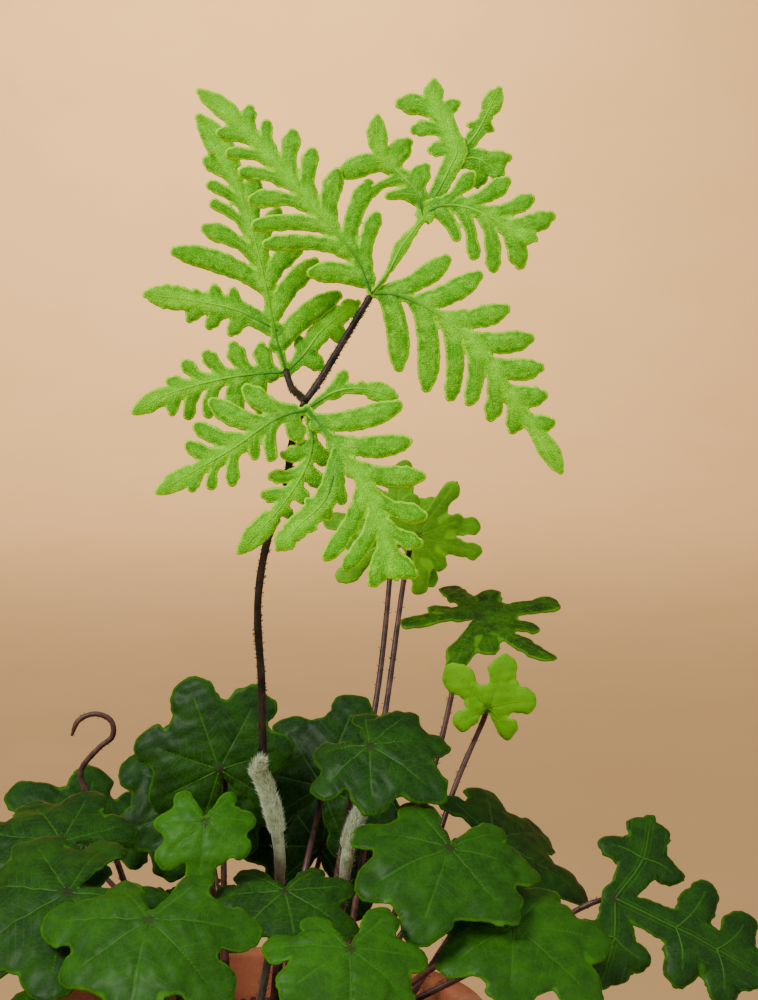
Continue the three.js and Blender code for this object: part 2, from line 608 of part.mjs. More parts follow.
// Rear fronds
// Young fertile fronds on long thin stalks behind the clump. One is fresh, and still has only five lobes.
const YOUNG_ANGLES = [-52, -20, 15, 53, 90, 127, 165, 200, 232];
const YOUNG_REACH = [0.85, 0.6, 0.95, 0.66, 1, 0.66, 0.95, 0.6, 0.85];
const YOUNG_NOTCH = [0.16, 0.36, 0.34, 0.4, 0.42, 0.42, 0.4, 0.34, 0.36, 0.16];
const YOUNG_WIDTH = 0.27;
const FRESH_ANGLES = [-42, 18, 72, 140, 215];
const FRESH_REACH = [0.85, 1, 0.95, 1, 0.8];
const FRESH_NOTCH = [0.2, 0.42, 0.72, 0.4, 0.42, 0.2];
const FRESH_WIDTH = 0.6;

function youngBlade(size, random, fresh) {
  const [baseAngles, baseReach] = fresh ? [FRESH_ANGLES, FRESH_REACH] : [YOUNG_ANGLES, YOUNG_REACH];
  const [notchReach, width] = fresh ? [FRESH_NOTCH, FRESH_WIDTH] : [YOUNG_NOTCH, YOUNG_WIDTH];
  const angles = baseAngles.map((angle) => angle + (random() - 0.5) * 8);
  return [palmSheet({
    lobes: angles.map((angle, i) => [angle, size * baseReach[i] * (1 + (random() - 0.5) * 0.2)]),
    notches: notchesOf(angles, notchReach.map((reach) => size * reach)),
    width: size * width,
    size,
    dome: size * 0.06,
    waves: 3,
    phase: random() * 6,
    droop: 0.12 / size,
  })];
}

const REAR_FRONDS = {
  tall: {
    hub: [48, 70, 244], along: [0.5, 0.2, 0.8], face: [0.1, -0.9, 0.4], size: 21,
    root: [26, 26], by: [39, 58, 196],
  },
  shaded: {
    hub: [41, 89, 243], along: [0.1, 0.6, 0.75], face: [0, -0.8, 0.6], size: 27,
    root: [19, 33], by: [36, 68, 196],
  },
  flat: {
    hub: [67, 79, 218], along: [0.8, 0.5, 0.12], face: [0, -0.35, 0.92], size: 31,
    root: [36, 32], by: [56, 68, 184],
  },
  bright: {
    hub: [69, 53, 195], along: [0.1, 0.1, 0.9], face: [0.1, -0.95, 0.3], size: 16,
    root: [42, 22], by: [58, 50, 168], fresh: true,
  },
};
for (const [name, { hub, along, face, size, root, by, fresh }] of Object.entries(REAR_FRONDS)) {
  stalkRoots.push([...root, STALK_FOOT]);
  const path = stalkPoints(hub, along, face, root, 0.5);
  path.splice(3, 1, by);
  const stalk = stem(path, STALK_FOOT, STALK_HEAD, STALK_SIDES, LONG_STEPS);
  addPiece(`rear_frond_${name}_stalk`, stalk, COLOURS.stalk);
  const sheets = youngBlade(size, random, fresh);
  addPiece(`rear_frond_${name}_blade`, blade(sheets, hub, along, face), COLOURS.frond);
}

// Croziers: young fronds that are still coiled at the tip.
const CROZIERS = {
  thin: {
    points: [...footing([-26, 20]), [-38, 30, 148], [-45, 33, 166], [-49, 33, 174], [-50.4, 33, 180],
      [-45, 33, 187], [-41, 33, 190.5], [-41.5, 33, 195], [-46, 33, 197], [-51, 33, 195], [-53, 33, 190.5]],
    radii: [1.1, 0.75],
    colour: 'stalk',
    steps: 30,
  },
  woolly: {
    points: [...footing([2, -9]), [9, -8, 160], [7, -8, 178], [4.5, -8, 186], [3, -9, 190],
      [4.2, -10.5, 193]],
    radii: [1.1, 1.9],
    colour: 'young',
    steps: 22,
  },
  woolly_leaning: {
    points: [...footing([20, -8]), [26, -8, 150], [28, -7, 166], [30, -7, 174], [32.5, -7, 179]],
    radii: [1.1, 1.8],
    colour: 'young',
    steps: 18,
  },
};
for (const [name, { points, radii, colour, steps }] of Object.entries(CROZIERS)) {
  stalkRoots.push([points[0][0], points[0][1], radii[0]]);
  addPiece(`crozier_${name}`, stem(points, radii[0], radii[1], STALK_SIDES, steps), COLOURS[colour]);
}

// Clay pot: tapered wall, thick rim band, and three drain holes round the middle of the floor.
const taper = (RIM_RADIUS - RIM_STEP - BASE_RADIUS) / (POT_HEIGHT - RIM_BAND);
const outerAt = (z) => BASE_RADIUS + taper * z;
const innerAt = (z) => outerAt(z) - WALL;
const INNER_TOP = RIM_RADIUS - WALL - 1.5;
const EDGE = 2;
const potProfile = [
  [0, 0], [BASE_RADIUS - EDGE, 0], [BASE_RADIUS, EDGE],
  [outerAt(POT_HEIGHT - RIM_BAND), POT_HEIGHT - RIM_BAND],
  [RIM_RADIUS - EDGE, POT_HEIGHT - RIM_BAND], [RIM_RADIUS - 0.5, POT_HEIGHT - RIM_BAND + EDGE],
  [RIM_RADIUS, POT_HEIGHT - EDGE], [RIM_RADIUS - EDGE, POT_HEIGHT], [INNER_TOP + EDGE, POT_HEIGHT],
  [INNER_TOP, POT_HEIGHT - EDGE], [innerAt(FLOOR), FLOOR], [0, FLOOR],
];
const drains = [0, 1, 2].map((i) => {
  const angle = Math.PI / 2 + (i * Math.PI * 2) / 3;
  const [x, y] = [Math.cos(angle) * DRAIN_CIRCLE, Math.sin(angle) * DRAIN_CIRCLE];
  return solidOf(peg(x, y, -1, FLOOR + 1, DRAIN_RADIUS, DRAIN_SIDES));
});
const pot = solidOf(turned(potProfile, POT_SIDES)).subtract(wasm.Manifold.union(drains));
addPiece('pot', pot, COLOURS.clay);

// Soil: fills the pot, gently heaped, with a plain hole for each stalk.
const wallSlope = (INNER_TOP - innerAt(FLOOR)) / (POT_HEIGHT - EDGE - FLOOR);
const soilEdge = (z) => innerAt(FLOOR) + wallSlope * (z - FLOOR) - FIT;
const soilProfile = [
  [0, FLOOR + 0.3], [soilEdge(FLOOR + 0.3), FLOOR + 0.3], [soilEdge(SOIL_TOP - 3), SOIL_TOP - 3],
  [soilEdge(SOIL_TOP) * 0.8, SOIL_TOP - 0.5], [soilEdge(SOIL_TOP) * 0.4, SOIL_TOP + SOIL_RISE],
  [0, SOIL_TOP + SOIL_RISE],
];
const holes = stalkRoots.map(([x, y, radius]) => (
  solidOf(peg(x, y, SOIL_TOP - HOLE_DEPTH, SOIL_TOP + 10, radius + FIT, STALK_SIDES))
));
const soil = solidOf(turned(soilProfile, POT_SIDES)).subtract(wasm.Manifold.union(holes));
addPiece('soil', soil, COLOURS.soil);

export default fern;
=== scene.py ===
# Antenna fern in a clay pot: the looks of every piece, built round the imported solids, in metres, +Z up.
# X runs to the plant's right as it is looked at, and Y away from the onlooker.
import math
import random
import bmesh
import bpy
import numpy as np
from mathutils import Matrix, Vector, noise


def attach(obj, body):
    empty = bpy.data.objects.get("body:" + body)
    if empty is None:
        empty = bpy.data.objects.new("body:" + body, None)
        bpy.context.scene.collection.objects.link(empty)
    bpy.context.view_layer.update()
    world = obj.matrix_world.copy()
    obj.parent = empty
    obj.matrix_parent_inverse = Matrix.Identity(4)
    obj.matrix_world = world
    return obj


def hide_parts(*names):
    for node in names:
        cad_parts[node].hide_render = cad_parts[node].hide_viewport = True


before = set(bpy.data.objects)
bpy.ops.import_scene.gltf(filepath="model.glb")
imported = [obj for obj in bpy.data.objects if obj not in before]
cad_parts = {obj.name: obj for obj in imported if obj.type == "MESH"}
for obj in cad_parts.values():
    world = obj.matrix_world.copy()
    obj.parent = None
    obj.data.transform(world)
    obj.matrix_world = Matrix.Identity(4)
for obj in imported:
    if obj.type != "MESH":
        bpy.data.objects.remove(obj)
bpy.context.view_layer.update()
MM = 0.001

# Clay pot
# A plain thrown flower pot of unglazed red clay, with a thick rim band and three drain holes in its floor.
# It was turned on a wheel, cut, dried and fired once, and stands on its own flat base.
POT_HEIGHT, RIM_RADIUS, RIM_BAND, RIM_STEP = 118 * MM, 68 * MM, 24 * MM, 4.5 * MM
BASE_RADIUS, WALL, FLOOR, EDGE = 43 * MM, 6 * MM, 8 * MM, 2 * MM
INNER_TOP = RIM_RADIUS - WALL - 1.5 * MM
DRAIN_RADIUS, DRAIN_CIRCLE, DRAINS = 5 * MM, 22 * MM, 3
POT_SIDES, POT_STEP = 144, 5 * MM
SHOULDER = POT_HEIGHT - RIM_BAND
THROWING_RINGS, RING_DEPTH, HAND_WAVE = 1.9 * MM, 0.06 * MM, 0.35 * MM


class Wire:
    """A value on its way through a material. Arithmetic on it adds Math nodes."""

    def __init__(self, tree, socket):
        self.tree = tree
        self.socket = socket

    def node(self, kind, settings, inputs, output=0):
        """A new node: its settings are set before its inputs."""
        made = self.tree.nodes.new(kind)
        for key, value in settings.items():
            setattr(made, key, value)
        for key, value in inputs.items():
            if isinstance(value, Wire):
                self.tree.links.new(value.socket, made.inputs[key])
            else:
                made.inputs[key].default_value = value
        return Wire(self.tree, made.outputs[output])

    def maths(self, operation, *others):
        return self.node("ShaderNodeMath", {"operation": operation}, dict(enumerate((self, *others))))

    def __add__(self, other):
        return self.maths("ADD", other)

    __radd__ = __add__

    def __sub__(self, other):
        return self.maths("SUBTRACT", other)

    def __rsub__(self, other):
        return (self * -1).maths("ADD", other)

    def __mul__(self, other):
        return self.maths("MULTIPLY", other)

    __rmul__ = __mul__

    def ramp(self, low, high):
        """0 at low and 1 at high, with soft ends."""
        inputs = {0: self, 1: low, 2: high}
        return self.node("ShaderNodeMapRange", {"interpolation_type": "SMOOTHSTEP"}, inputs)

    def blend(self, first, second):
        """A colour that goes from first at 0 to second at 1."""
        ends = [c if isinstance(c, Wire) else (*c, 1) for c in (first, second)]
        return self.node("ShaderNodeMix", {"data_type": "RGBA"}, {0: self, 6: ends[0], 7: ends[1]}, output=2)

    def speckle(self, scale, detail=4, rough=0.6):
        """Noise over a place."""
        inputs = {"Vector": self, "Scale": scale, "Detail": detail, "Roughness": rough}
        return self.node("ShaderNodeTexNoise", {}, inputs)

    def cells(self, scale, feature="F1"):
        """Voronoi cells over a place."""
        inputs = {"Vector": self, "Scale": scale}
        return self.node("ShaderNodeTexVoronoi", {"feature": feature}, inputs, "Distance")

    def stretched(self, scale):
        """A place with its three axes scaled."""
        return self.node("ShaderNodeMapping", {}, {"Vector": self, "Scale": scale})

    def part(self, axis):
        """One coordinate of a place."""
        return self.node("ShaderNodeSeparateXYZ", {}, {0: self}, axis)


def finish(name, **uniform):
    """A new material: its Principled shader, and its Object coordinates as a Wire."""
    material = bpy.data.materials.new(name)
    material.use_nodes = True
    tree = material.node_tree
    shader = tree.nodes["Principled BSDF"]
    for key, value in uniform.items():
        shader.inputs[key.replace("_", " ")].default_value = value
    place = Wire(tree, tree.nodes.new("ShaderNodeTexCoord").outputs["Object"])
    return material, shader, place


def paint(shader, colour, roughness=None, height=None, depth=0.0002, strength=0.5):
    """Joins a colour, a roughness and a relief to a shader."""
    colour.tree.links.new(colour.socket, shader.inputs["Base Color"])
    if roughness is not None:
        colour.tree.links.new(roughness.socket, shader.inputs["Roughness"])
    if height is not None:
        bump = height.node("ShaderNodeBump", {}, {"Height": height, "Strength": strength, "Distance": depth})
        colour.tree.links.new(bump.socket, shader.inputs["Normal"])


def read(wire, name):
    """A number kept on a mesh's points."""
    return wire.node("ShaderNodeAttribute", {"attribute_name": name}, {}, "Fac")


def placed(bm, name, material=None, smooth=True):
    """Turns a bmesh into an object of the scene."""
    mesh = bpy.data.meshes.new(name)
    bm.to_mesh(mesh)
    bm.free()
    for polygon in mesh.polygons:
        polygon.use_smooth = smooth
    if material:
        mesh.materials.append(material)
    made = bpy.data.objects.new(name, mesh)
    bpy.context.scene.collection.objects.link(made)
    return made


def show(bm, name, material, smooth=True, replaced=()):
    """Turns a bmesh into a piece that rides on the plant's one body."""
    piece = placed(bm, name, material, smooth)
    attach(piece, "root")
    if replaced:
        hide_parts(*replaced)
    return piece


def clay_finish():
    material, shader, place = finish("clay", Roughness=0.85)
    blotch = place.speckle(22, 5)
    grain = place.speckle(900, 3)
    streak = place.stretched((60, 60, 320)).speckle(1, 4)
    height = place.part(2)
    bloom = (place.speckle(70, 7, 0.7).ramp(0.52, 0.72) * blotch.ramp(0.4, 0.6)) * 0.5
    # The clay is darker towards the bottom of the pot, fading out over its lowest 3 cm.
    lower_darkening = (1 - height.ramp(0.002, 0.03)) * 0.55
    clay = blotch.ramp(0.3, 0.7).blend((0.5, 0.13, 0.05), (0.66, 0.21, 0.09))
    clay = (streak.ramp(0.45, 0.75) * 0.35).blend(clay, (0.42, 0.1, 0.04))
    clay = (grain.ramp(0.62, 0.72) * 0.4).blend(clay, (0.75, 0.38, 0.22))
    clay = lower_darkening.blend(clay, (0.28, 0.08, 0.04))
    clay = bloom.blend(clay, (0.78, 0.62, 0.52))
    relief = grain * 0.5 + streak * 0.6 + place.cells(600) * 0.3
    paint(shader, clay, 0.72 + bloom * 0.2 + grain * 0.1, relief, 0.0004, 0.5)
    return material


def spun(profile, sides):
    """A bmesh turned round the Z axis from (radius, height) points."""
    bm = bmesh.new()
    ring = [bm.verts.new((radius, 0, height)) for radius, height in profile]
    for first, second in zip(ring, ring[1:]):
        bm.edges.new((first, second))
    bmesh.ops.spin(bm, geom=bm.verts[:] + bm.edges[:], cent=(0, 0, 0), axis=(0, 0, 1), angle=math.tau,
                   steps=sides, use_merge=True)
    bmesh.ops.remove_doubles(bm, verts=bm.verts, dist=1e-6)
    bmesh.ops.recalc_face_normals(bm, faces=bm.faces)
    return bm


def rounded(profile, reach, steps=5):
    """A profile with each inner corner swapped for a short arc."""
    points = [Vector(p) for p in profile]
    result = [points[0]]
    for before, corner, after in zip(points, points[1:], points[2:]):
        span = min(reach, (before - corner).length / 2.2, (after - corner).length / 2.2)
        start = corner + (before - corner).normalized() * span
        end = corner + (after - corner).normalized() * span
        for i in range(steps + 1):
            t = i / steps
            result.append(start * (1 - t) ** 2 + corner * 2 * t * (1 - t) + end * t * t)
    return result + [points[-1]]


def subdivided(profile, longest):
    """A profile with its long stretches split."""
    result = [profile[0]]
    for first, second in zip(profile, profile[1:]):
        parts = max(1, math.ceil((second - first).length / longest))
        result += [first.lerp(second, (i + 1) / parts) for i in range(parts)]
    return result


taper = (RIM_RADIUS - RIM_STEP - BASE_RADIUS) / SHOULDER
inner_floor = BASE_RADIUS + taper * FLOOR - WALL
pot_profile = [
    (0, 0), (BASE_RADIUS, 0), (BASE_RADIUS + taper * SHOULDER, SHOULDER), (RIM_RADIUS - EDGE / 2, SHOULDER),
    (RIM_RADIUS, POT_HEIGHT), (INNER_TOP, POT_HEIGHT), (inner_floor, FLOOR), (0, FLOOR),
]
bm = spun(subdivided(rounded(pot_profile, EDGE), POT_STEP), POT_SIDES)
for vert in bm.verts:
    radius = math.hypot(vert.co.x, vert.co.y)
    if EDGE < vert.co.z < POT_HEIGHT - EDGE and radius > inner_floor:
        ring_mark = math.sin(vert.co.z / THROWING_RINGS) * RING_DEPTH
        hand = noise.noise(vert.co * 35) * HAND_WAVE
        vert.co.xy *= 1 + (ring_mark + hand) / radius
pot = show(bm, "pot_body", clay_finish(), replaced=["pot"])
drill = bmesh.new()
for i in range(DRAINS):
    angle = math.pi / 2 + i * math.tau / DRAINS
    centre = Matrix.Translation((math.cos(angle) * DRAIN_CIRCLE, math.sin(angle) * DRAIN_CIRCLE, FLOOR / 2))
    bmesh.ops.create_cone(drill, cap_ends=True, segments=32, radius1=DRAIN_RADIUS, radius2=DRAIN_RADIUS,
                          depth=FLOOR * 2, matrix=centre)
drill_object = placed(drill, "drill", smooth=False)
holes = pot.modifiers.new("drain_holes", "BOOLEAN")
holes.operation = "DIFFERENCE"
holes.object = drill_object
pierced = bpy.data.meshes.new_from_object(pot.evaluated_get(bpy.context.evaluated_depsgraph_get()))
pot.modifiers.clear()
pot.data = pierced
for polygon in pot.data.polygons:
    polygon.use_smooth = True
bpy.data.objects.remove(drill_object)

# Potting soil
# Peat and composted bark fill the pot to just under its rim, with crumbs, bark chips and grains of perlite.
# The soil is heaped a little round the crown, and every stalk comes up out of it.
SOIL_TOP, SOIL_RISE, SOIL_DIP = 106 * MM, 2.4 * MM, 2.2 * MM
SOIL_GAP, SOIL_SIDES, SOIL_STEP, SOIL_ROUGHNESS = 0.6 * MM, 150, 1.6 * MM, 0.9 * MM
SOIL_BOTTOM = FLOOR + 0.3 * MM
soil_slope = (INNER_TOP - inner_floor) / (POT_HEIGHT - EDGE - FLOOR)
soil_random = random.Random(5)
noise.seed_set(5)


def soil_radius(height):
    return inner_floor + soil_slope * (height - FLOOR) - SOIL_GAP


def soil_height(x, y):
    """The heaped surface, without its crumbs."""
    share = min(math.hypot(x, y) / soil_radius(SOIL_TOP), 1)
    return SOIL_TOP + SOIL_RISE * (1 - share ** 2) - SOIL_DIP * share ** 6


def soil_finish(name, dark, light, roughness):
    material, shader, place = finish(name)
    lumps = place.speckle(260, 6, 0.7)
    fibres = place.stretched((1, 3, 1)).speckle(900, 3)
    colour = lumps.ramp(0.35, 0.7).blend(dark, light)
    colour = (fibres.ramp(0.58, 0.68) * 0.5).blend(colour, (0.14, 0.075, 0.035))
    paint(shader, colour, roughness + lumps * 0.1, lumps + fibres * 0.4, 0.0006, 0.8)
    return material


soil_edge = soil_radius(SOIL_TOP)
soil_profile = [Vector((0, SOIL_BOTTOM)), Vector((soil_radius(SOIL_BOTTOM), SOIL_BOTTOM)),
                Vector((soil_edge, SOIL_TOP - SOIL_DIP)), Vector((0, SOIL_TOP - SOIL_DIP))]
bm = spun(subdivided(soil_profile, SOIL_STEP), SOIL_SIDES)
for vert in bm.verts:
    if vert.co.z > SOIL_TOP - SOIL_DIP - 0.1 * MM:
        rough = noise.fractal(vert.co * 160, 1, 2.2, 5) * SOIL_ROUGHNESS
        vert.co.z = soil_height(vert.co.x, vert.co.y) + rough - 0.5 * MM
show(bm, "soil_bed", soil_finish("soil", (0.012, 0.008, 0.006), (0.05, 0.03, 0.018), 0.85),
     replaced=["soil"])


def scatter(name, count, sizes, flatness, material, lift, shape_seed):
    """Small lumps that lie on the soil, each turned its own way and roughened."""
    bm = bmesh.new()
    for _ in range(count):
        angle = soil_random.uniform(0, math.tau)
        reach = soil_edge * 0.95 * math.sqrt(soil_random.random())
        x, y = math.cos(angle) * reach, math.sin(angle) * reach
        size = soil_random.uniform(*sizes)
        turn = Matrix.Rotation(soil_random.uniform(0, math.tau), 4, "Z")
        tip = Matrix.Rotation(soil_random.uniform(-0.4, 0.4), 4, "X")
        scale = Matrix.Diagonal((size, size * soil_random.uniform(0.5, 0.9), size * flatness, 1))
        where = Matrix.Translation((x, y, soil_height(x, y) + size * flatness * lift - 0.3 * MM))
        made = bmesh.ops.create_icosphere(bm, subdivisions=1, radius=1, matrix=where @ turn @ tip @ scale)
        for vert in made["verts"]:
            shift = noise.noise_vector(vert.co * (0.6 / size) + Vector((shape_seed, 0, 0)))
            vert.co += shift * size * 0.35
            vert.co.xy *= min(1, (soil_edge - 0.5 * MM) / max(vert.co.xy.length, 1e-6))
    return show(bm, name, material, smooth=False)


scatter("soil_crumbs", 900, (0.7 * MM, 1.9 * MM), 0.7,
        soil_finish("crumbs", (0.015, 0.01, 0.007), (0.07, 0.04, 0.022), 0.85), 0.5, 1)
scatter("soil_bark_chips", 150, (1.8 * MM, 4.2 * MM), 0.3,
        soil_finish("bark", (0.05, 0.022, 0.012), (0.17, 0.08, 0.04), 0.75), 0.6, 2)
scatter("soil_perlite", 70, (0.7 * MM, 1.5 * MM), 0.8,
        soil_finish("perlite", (0.5, 0.48, 0.44), (0.75, 0.73, 0.7), 0.9), 0.6, 3)

# Stipe of the tall frond
# A black, wiry, polished stalk that rises from the buried rhizome and forks twice at the top.
# It is clothed from the soil to the blade with fine dark scales that point upwards.
FORK = Vector((16.6, -19, 293)) * MM
VIEW_TILT = math.radians(7)
FROND_UP = Vector((0, math.sin(VIEW_TILT), math.cos(VIEW_TILT)))
FROND_FACE = Vector((0, -math.cos(VIEW_TILT), math.sin(VIEW_TILT)))
FOOT_HEIGHTS = -12, 1.5, 8
NEAR, FAR = 1.85, -18
STIPE_ROOT = (8, -3)
STIPE_FOOT, STIPE_HEAD, BRANCH_HEAD = 1.25 * MM, 1 * MM, 0.92 * MM


def on_frond(x, y, h):
    """A place in the tall frond's own plane, given in millimetres from the fork."""
    return FORK + (Vector((1, 0, 0)) * x + FROND_UP * y + FROND_FACE * h) * MM


def in_space(points):
    """Places given in millimetres."""
    return [Vector(p) * MM for p in points]


def footing(root):
    """The straight foot of a stem in the soil."""
    return [Vector((root[0] * MM, root[1] * MM, SOIL_TOP + height * MM)) for height in FOOT_HEIGHTS]


def smooth_line(points, count):
    """Evenly spaced points on a centripetal curve through the given ones, as rows of an array."""
    points = np.array([list(p) for p in points], float)
    ends = [2 * points[0] - points[1], *points, 2 * points[-1] - points[-2]]
    dense = []
    for before, first, second, after in zip(ends, ends[1:], ends[2:], ends[3:]):
        spans = [max(np.linalg.norm(b - a) ** 0.5, 1e-9)
                 for a, b in ((before, first), (first, second), (second, after))]
        slope = (second - first) / spans[1]
        leave = (first - before) / spans[0] - (second - before) / (spans[0] + spans[1]) + slope
        arrive = slope - (after - first) / (spans[1] + spans[2]) + (after - second) / spans[2]
        t = np.linspace(0, 1, 25)[:-1, None]
        dense.append(first * (2 * t ** 3 - 3 * t ** 2 + 1) + second * (3 * t ** 2 - 2 * t ** 3)
                     + leave * spans[1] * (t ** 3 - 2 * t ** 2 + t) + arrive * spans[1] * (t ** 3 - t ** 2))
    dense = np.concatenate([*dense, points[-1:]])
    run = np.concatenate([[0], np.cumsum(np.linalg.norm(np.diff(dense, axis=0), axis=1))])
    even = np.linspace(0, run[-1], count)
    return np.stack([np.interp(even, run, dense[:, i]) for i in range(points.shape[1])], axis=1)


def add_tube(bm, line, radii, sides):
    """Adds a capped round tube along a line, ring by ring, to a bmesh."""
    line = [Vector(p) for p in line]
    ahead = (line[1] - line[0]).normalized()
    turn = ahead.to_track_quat("Z", "Y")
    ring = None
    for i, centre in enumerate(line):
        onward = (line[min(i + 1, len(line) - 1)] - line[max(i - 1, 0)]).normalized()
        turn = ahead.rotation_difference(onward) @ turn
        ahead = onward
        frame_here = Matrix.Translation(centre) @ turn.to_matrix().to_4x4()
        made = bmesh.ops.create_circle(bm, cap_ends=i in (0, len(line) - 1), segments=sides, radius=radii[i],
                                       matrix=frame_here)["verts"]
        if ring:
            for k in range(sides):
                bm.faces.new((ring[k - 1], ring[k], made[k], made[k - 1]))
        elif made[0].link_faces:
            bmesh.ops.reverse_faces(bm, faces=made[0].link_faces[:])
        ring = made
    return bm


def add_hairs(bm, line, radii, count, length, width, lean, seed, start=0.0, end=1.0):
    """Adds thin pointed scales along a line: each stands out of the stem and leans towards its tip."""
    draw = random.Random(seed)
    line = [Vector(p) for p in line]
    for _ in range(count):
        place = draw.uniform(start, end) * (len(line) - 1)
        low = min(int(place), len(line) - 2)
        ahead = (line[low + 1] - line[low]).normalized()
        centre = line[low].lerp(line[low + 1], place - low)
        radius = radii[low]
        out = ahead.orthogonal()
        out.rotate(Matrix.Rotation(draw.uniform(0, math.tau), 3, ahead))
        reach = length * draw.uniform(0.5, 1.3)
        way = (out + ahead * lean * draw.uniform(0.5, 1.5)).normalized()
        foot = centre + out * radius * 0.8
        turn = way.to_track_quat("Z", "X").to_matrix().to_4x4()
        matrix = Matrix.Translation(foot + way * reach / 2) @ turn @ Matrix.Diagonal((1, 0.45, 1, 1))
        bmesh.ops.create_cone(bm, cap_ends=True, segments=3, radius1=width, radius2=0, depth=reach,
                              matrix=matrix)


def stem_finish(name, dark, light, roughness, coat=0.0):
    material, shader, place = finish(name, Coat_Weight=coat, Coat_Roughness=0.3, Specular_IOR_Level=0.25)
    blotch = place.speckle(180, 4)
    fibres = place.stretched((1, 1, 0.12)).speckle(2600, 3)
    colour = blotch.ramp(0.35, 0.68).blend(dark, light)
    colour = (fibres.ramp(0.5, 0.7) * 0.5).blend(colour, dark)
    paint(shader, colour, roughness + fibres * 0.15, fibres + blotch * 0.3, 0.0002, 0.6)
    return material


stipe_black = stem_finish("stipe_black", (0.003, 0.002, 0.002), (0.03, 0.019, 0.013), 0.45, 0.08)
stipe_scale = stem_finish("stipe_scales", (0.012, 0.007, 0.006), (0.13, 0.085, 0.065), 0.7)
STIPE_BENDS = [(8, -1.5, 165), (4.5, -2, 188), (4, -6, 214), (3.2, -9.5, 236), (6, -12.5, 254)]
STIPE_TOP = [(-5.2, -24, -3.4), (-3.8, -12.5, -3), (-1.4, -4, -1.8), (0, 0, 0.2)]
MIDDLE_BRANCH = [(0, 0, 0.2), (3.6, 5, -0.6), (10.5, 16.5, -0.8), (17.9, 28.8, -0.8)]
FAR_BRANCH = [(0, 0, 0.2), (-1.4, 1.6, -4), (-4.2, 4.6, -13), (-5.6, 9, FAR + 1.4)]
branches = [
    ([*footing(STIPE_ROOT), *in_space(STIPE_BENDS)], STIPE_TOP, STIPE_FOOT, STIPE_HEAD, 120, 900),
    ([], MIDDLE_BRANCH, STIPE_HEAD, BRANCH_HEAD, 24, 260),
    ([], FAR_BRANCH, STIPE_HEAD, BRANCH_HEAD, 18, 160),
]
bm = bmesh.new()
scales = bmesh.new()
for k, (start, points, foot, head, rings, hairs) in enumerate(branches):
    line = smooth_line([*start, *[on_frond(*p) for p in points]], rings)
    radii = [foot + (head - foot) * i / (rings - 1) for i in range(rings)]
    radii = [r * (1 + 0.09 * noise.noise(Vector(p) * 260)) for r, p in zip(radii, line)]
    add_tube(bm, line, radii, 14)
    add_hairs(scales, line, radii, hairs, 0.6 * MM, 0.2 * MM, 1.8, 20 + k, 0.08)
show(bm, "tall_frond_stipe_stalk", stipe_black, replaced=["tall_frond_stipe"])
show(scales, "tall_frond_stipe_scales", stipe_scale, smooth=False)

# Blades of the tall frond
# Each division is a thin leathery blade, cut nearly to its ribs into rounded fingers with a rolled pale
# margin. The ribs are raised, dark near the fork and yellow-green towards the tips.
FINGER = 6.2
FROND_CELL = 0.45
FROND_THICKNESS, VEIN_LIFT = 0.5 * MM, 0.2
RIB_POINTS, LOBE_POINTS, VEIN_SIDES, RIM_PASSES = 101, 12, 6, 4
LEAST_RADIUS = 0.35
FINGER_SHAPE = [(0, 0.84), (0.3, 0.9), (0.6, 0.99), (0.8, 0.92), (0.92, 0.74), (1, 0.5)]
FINGER_GAP = [(0, 0), (0.15, 0.8), (1, 1.2)]
TIP_SHAPE = [(0, 1), (0.3, 1.25), (0.6, 1.22), (0.85, 0.85), (1, 0.4)]


def pinna(rib, left, right, **changes):
    """One pinna: its rib, the tips of its fingers on either side, and the widths of its web and end."""
    made = {"rib": rib, "left": left, "right": right, "span": (0.03, 0.84), "lobe": FINGER,
            "web": (1.1, 1.5, 2.1), "tip": 2.2, "height": (0, 0), "droop": 0.006, "soft": 0.28, "wave": 0.14,
            "outline": FINGER_SHAPE, "run": 18, "rib_from": 0}
    return {**made, **changes}


NEAR_DIVISION = [
    pinna([(0.5, -2.5), (-7, -4.5), (-19.5, -13), (-30.5, -19.5), (-39, -24.5)],
          [(-1, -11.5), (-9, -16.5), (-13.5, -16), (-19.5, -23), (-25.5, -24), (-30.5, -24.5)],
          [(-17, 4), (-26, 0), (-30, -6.5), (-32, -11.5)], height=(NEAR, NEAR + 4, NEAR + 7),
          left_span=(0.03, 0.76), right_span=(0.03, 0.68)),
    pinna([(0.5, -2), (5, -7.5), (14, -19.5), (19.5, -31), (23, -42.5), (24.5, -47.5)],
          [(26.5, -1), (29, -11), (32.5, -20.5), (33, -31.5), (31.5, -39), (30, -47.5)],
          [(5.5, -43), (10.5, -45.5), (18, -50)], height=(NEAR + 0.15, NEAR + 5, NEAR + 8),
          left_span=(0.02, 0.92), right_span=(0.44, 0.9)),
    pinna([(9.5, -14), (5.5, -26.5), (-1.5, -33.5), (-7, -39.5)],
          [(10.5, -28), (6.5, -32.5), (3.5, -34.5)], [(0, -26.5)],
          height=(NEAR + 2.8, NEAR + 6), web=(2.4, 3.2, 3), tip=2.4, lobe=5,
          right_span=(0.4, 0.6), rib_from=8),
    pinna([(0.8, -2.5), (2, -11.5), (0, -18.5), (-6.5, -28.5), (-17.5, -40.5)],
          [(7.5, -17), (5.5, -23), (1.5, -27.5), (-3, -31.5)], [(-6.5, -15), (-10, -20.5), (-12, -25.5)],
          height=(NEAR - 0.1, NEAR - 1, NEAR), lobe=5, tip=2.5,
          left_span=(0.15, 0.7), right_span=(0.15, 0.6)),
    pinna([(0.8, -2), (8, 2.5), (14.5, 3.5), (24.5, 1.5)], [(11, 8.5), (15.5, 5.5)], [],
          height=(NEAR - 0.15, NEAR - 2, NEAR - 3), lobe=5, left_span=(0.2, 0.7)),
]
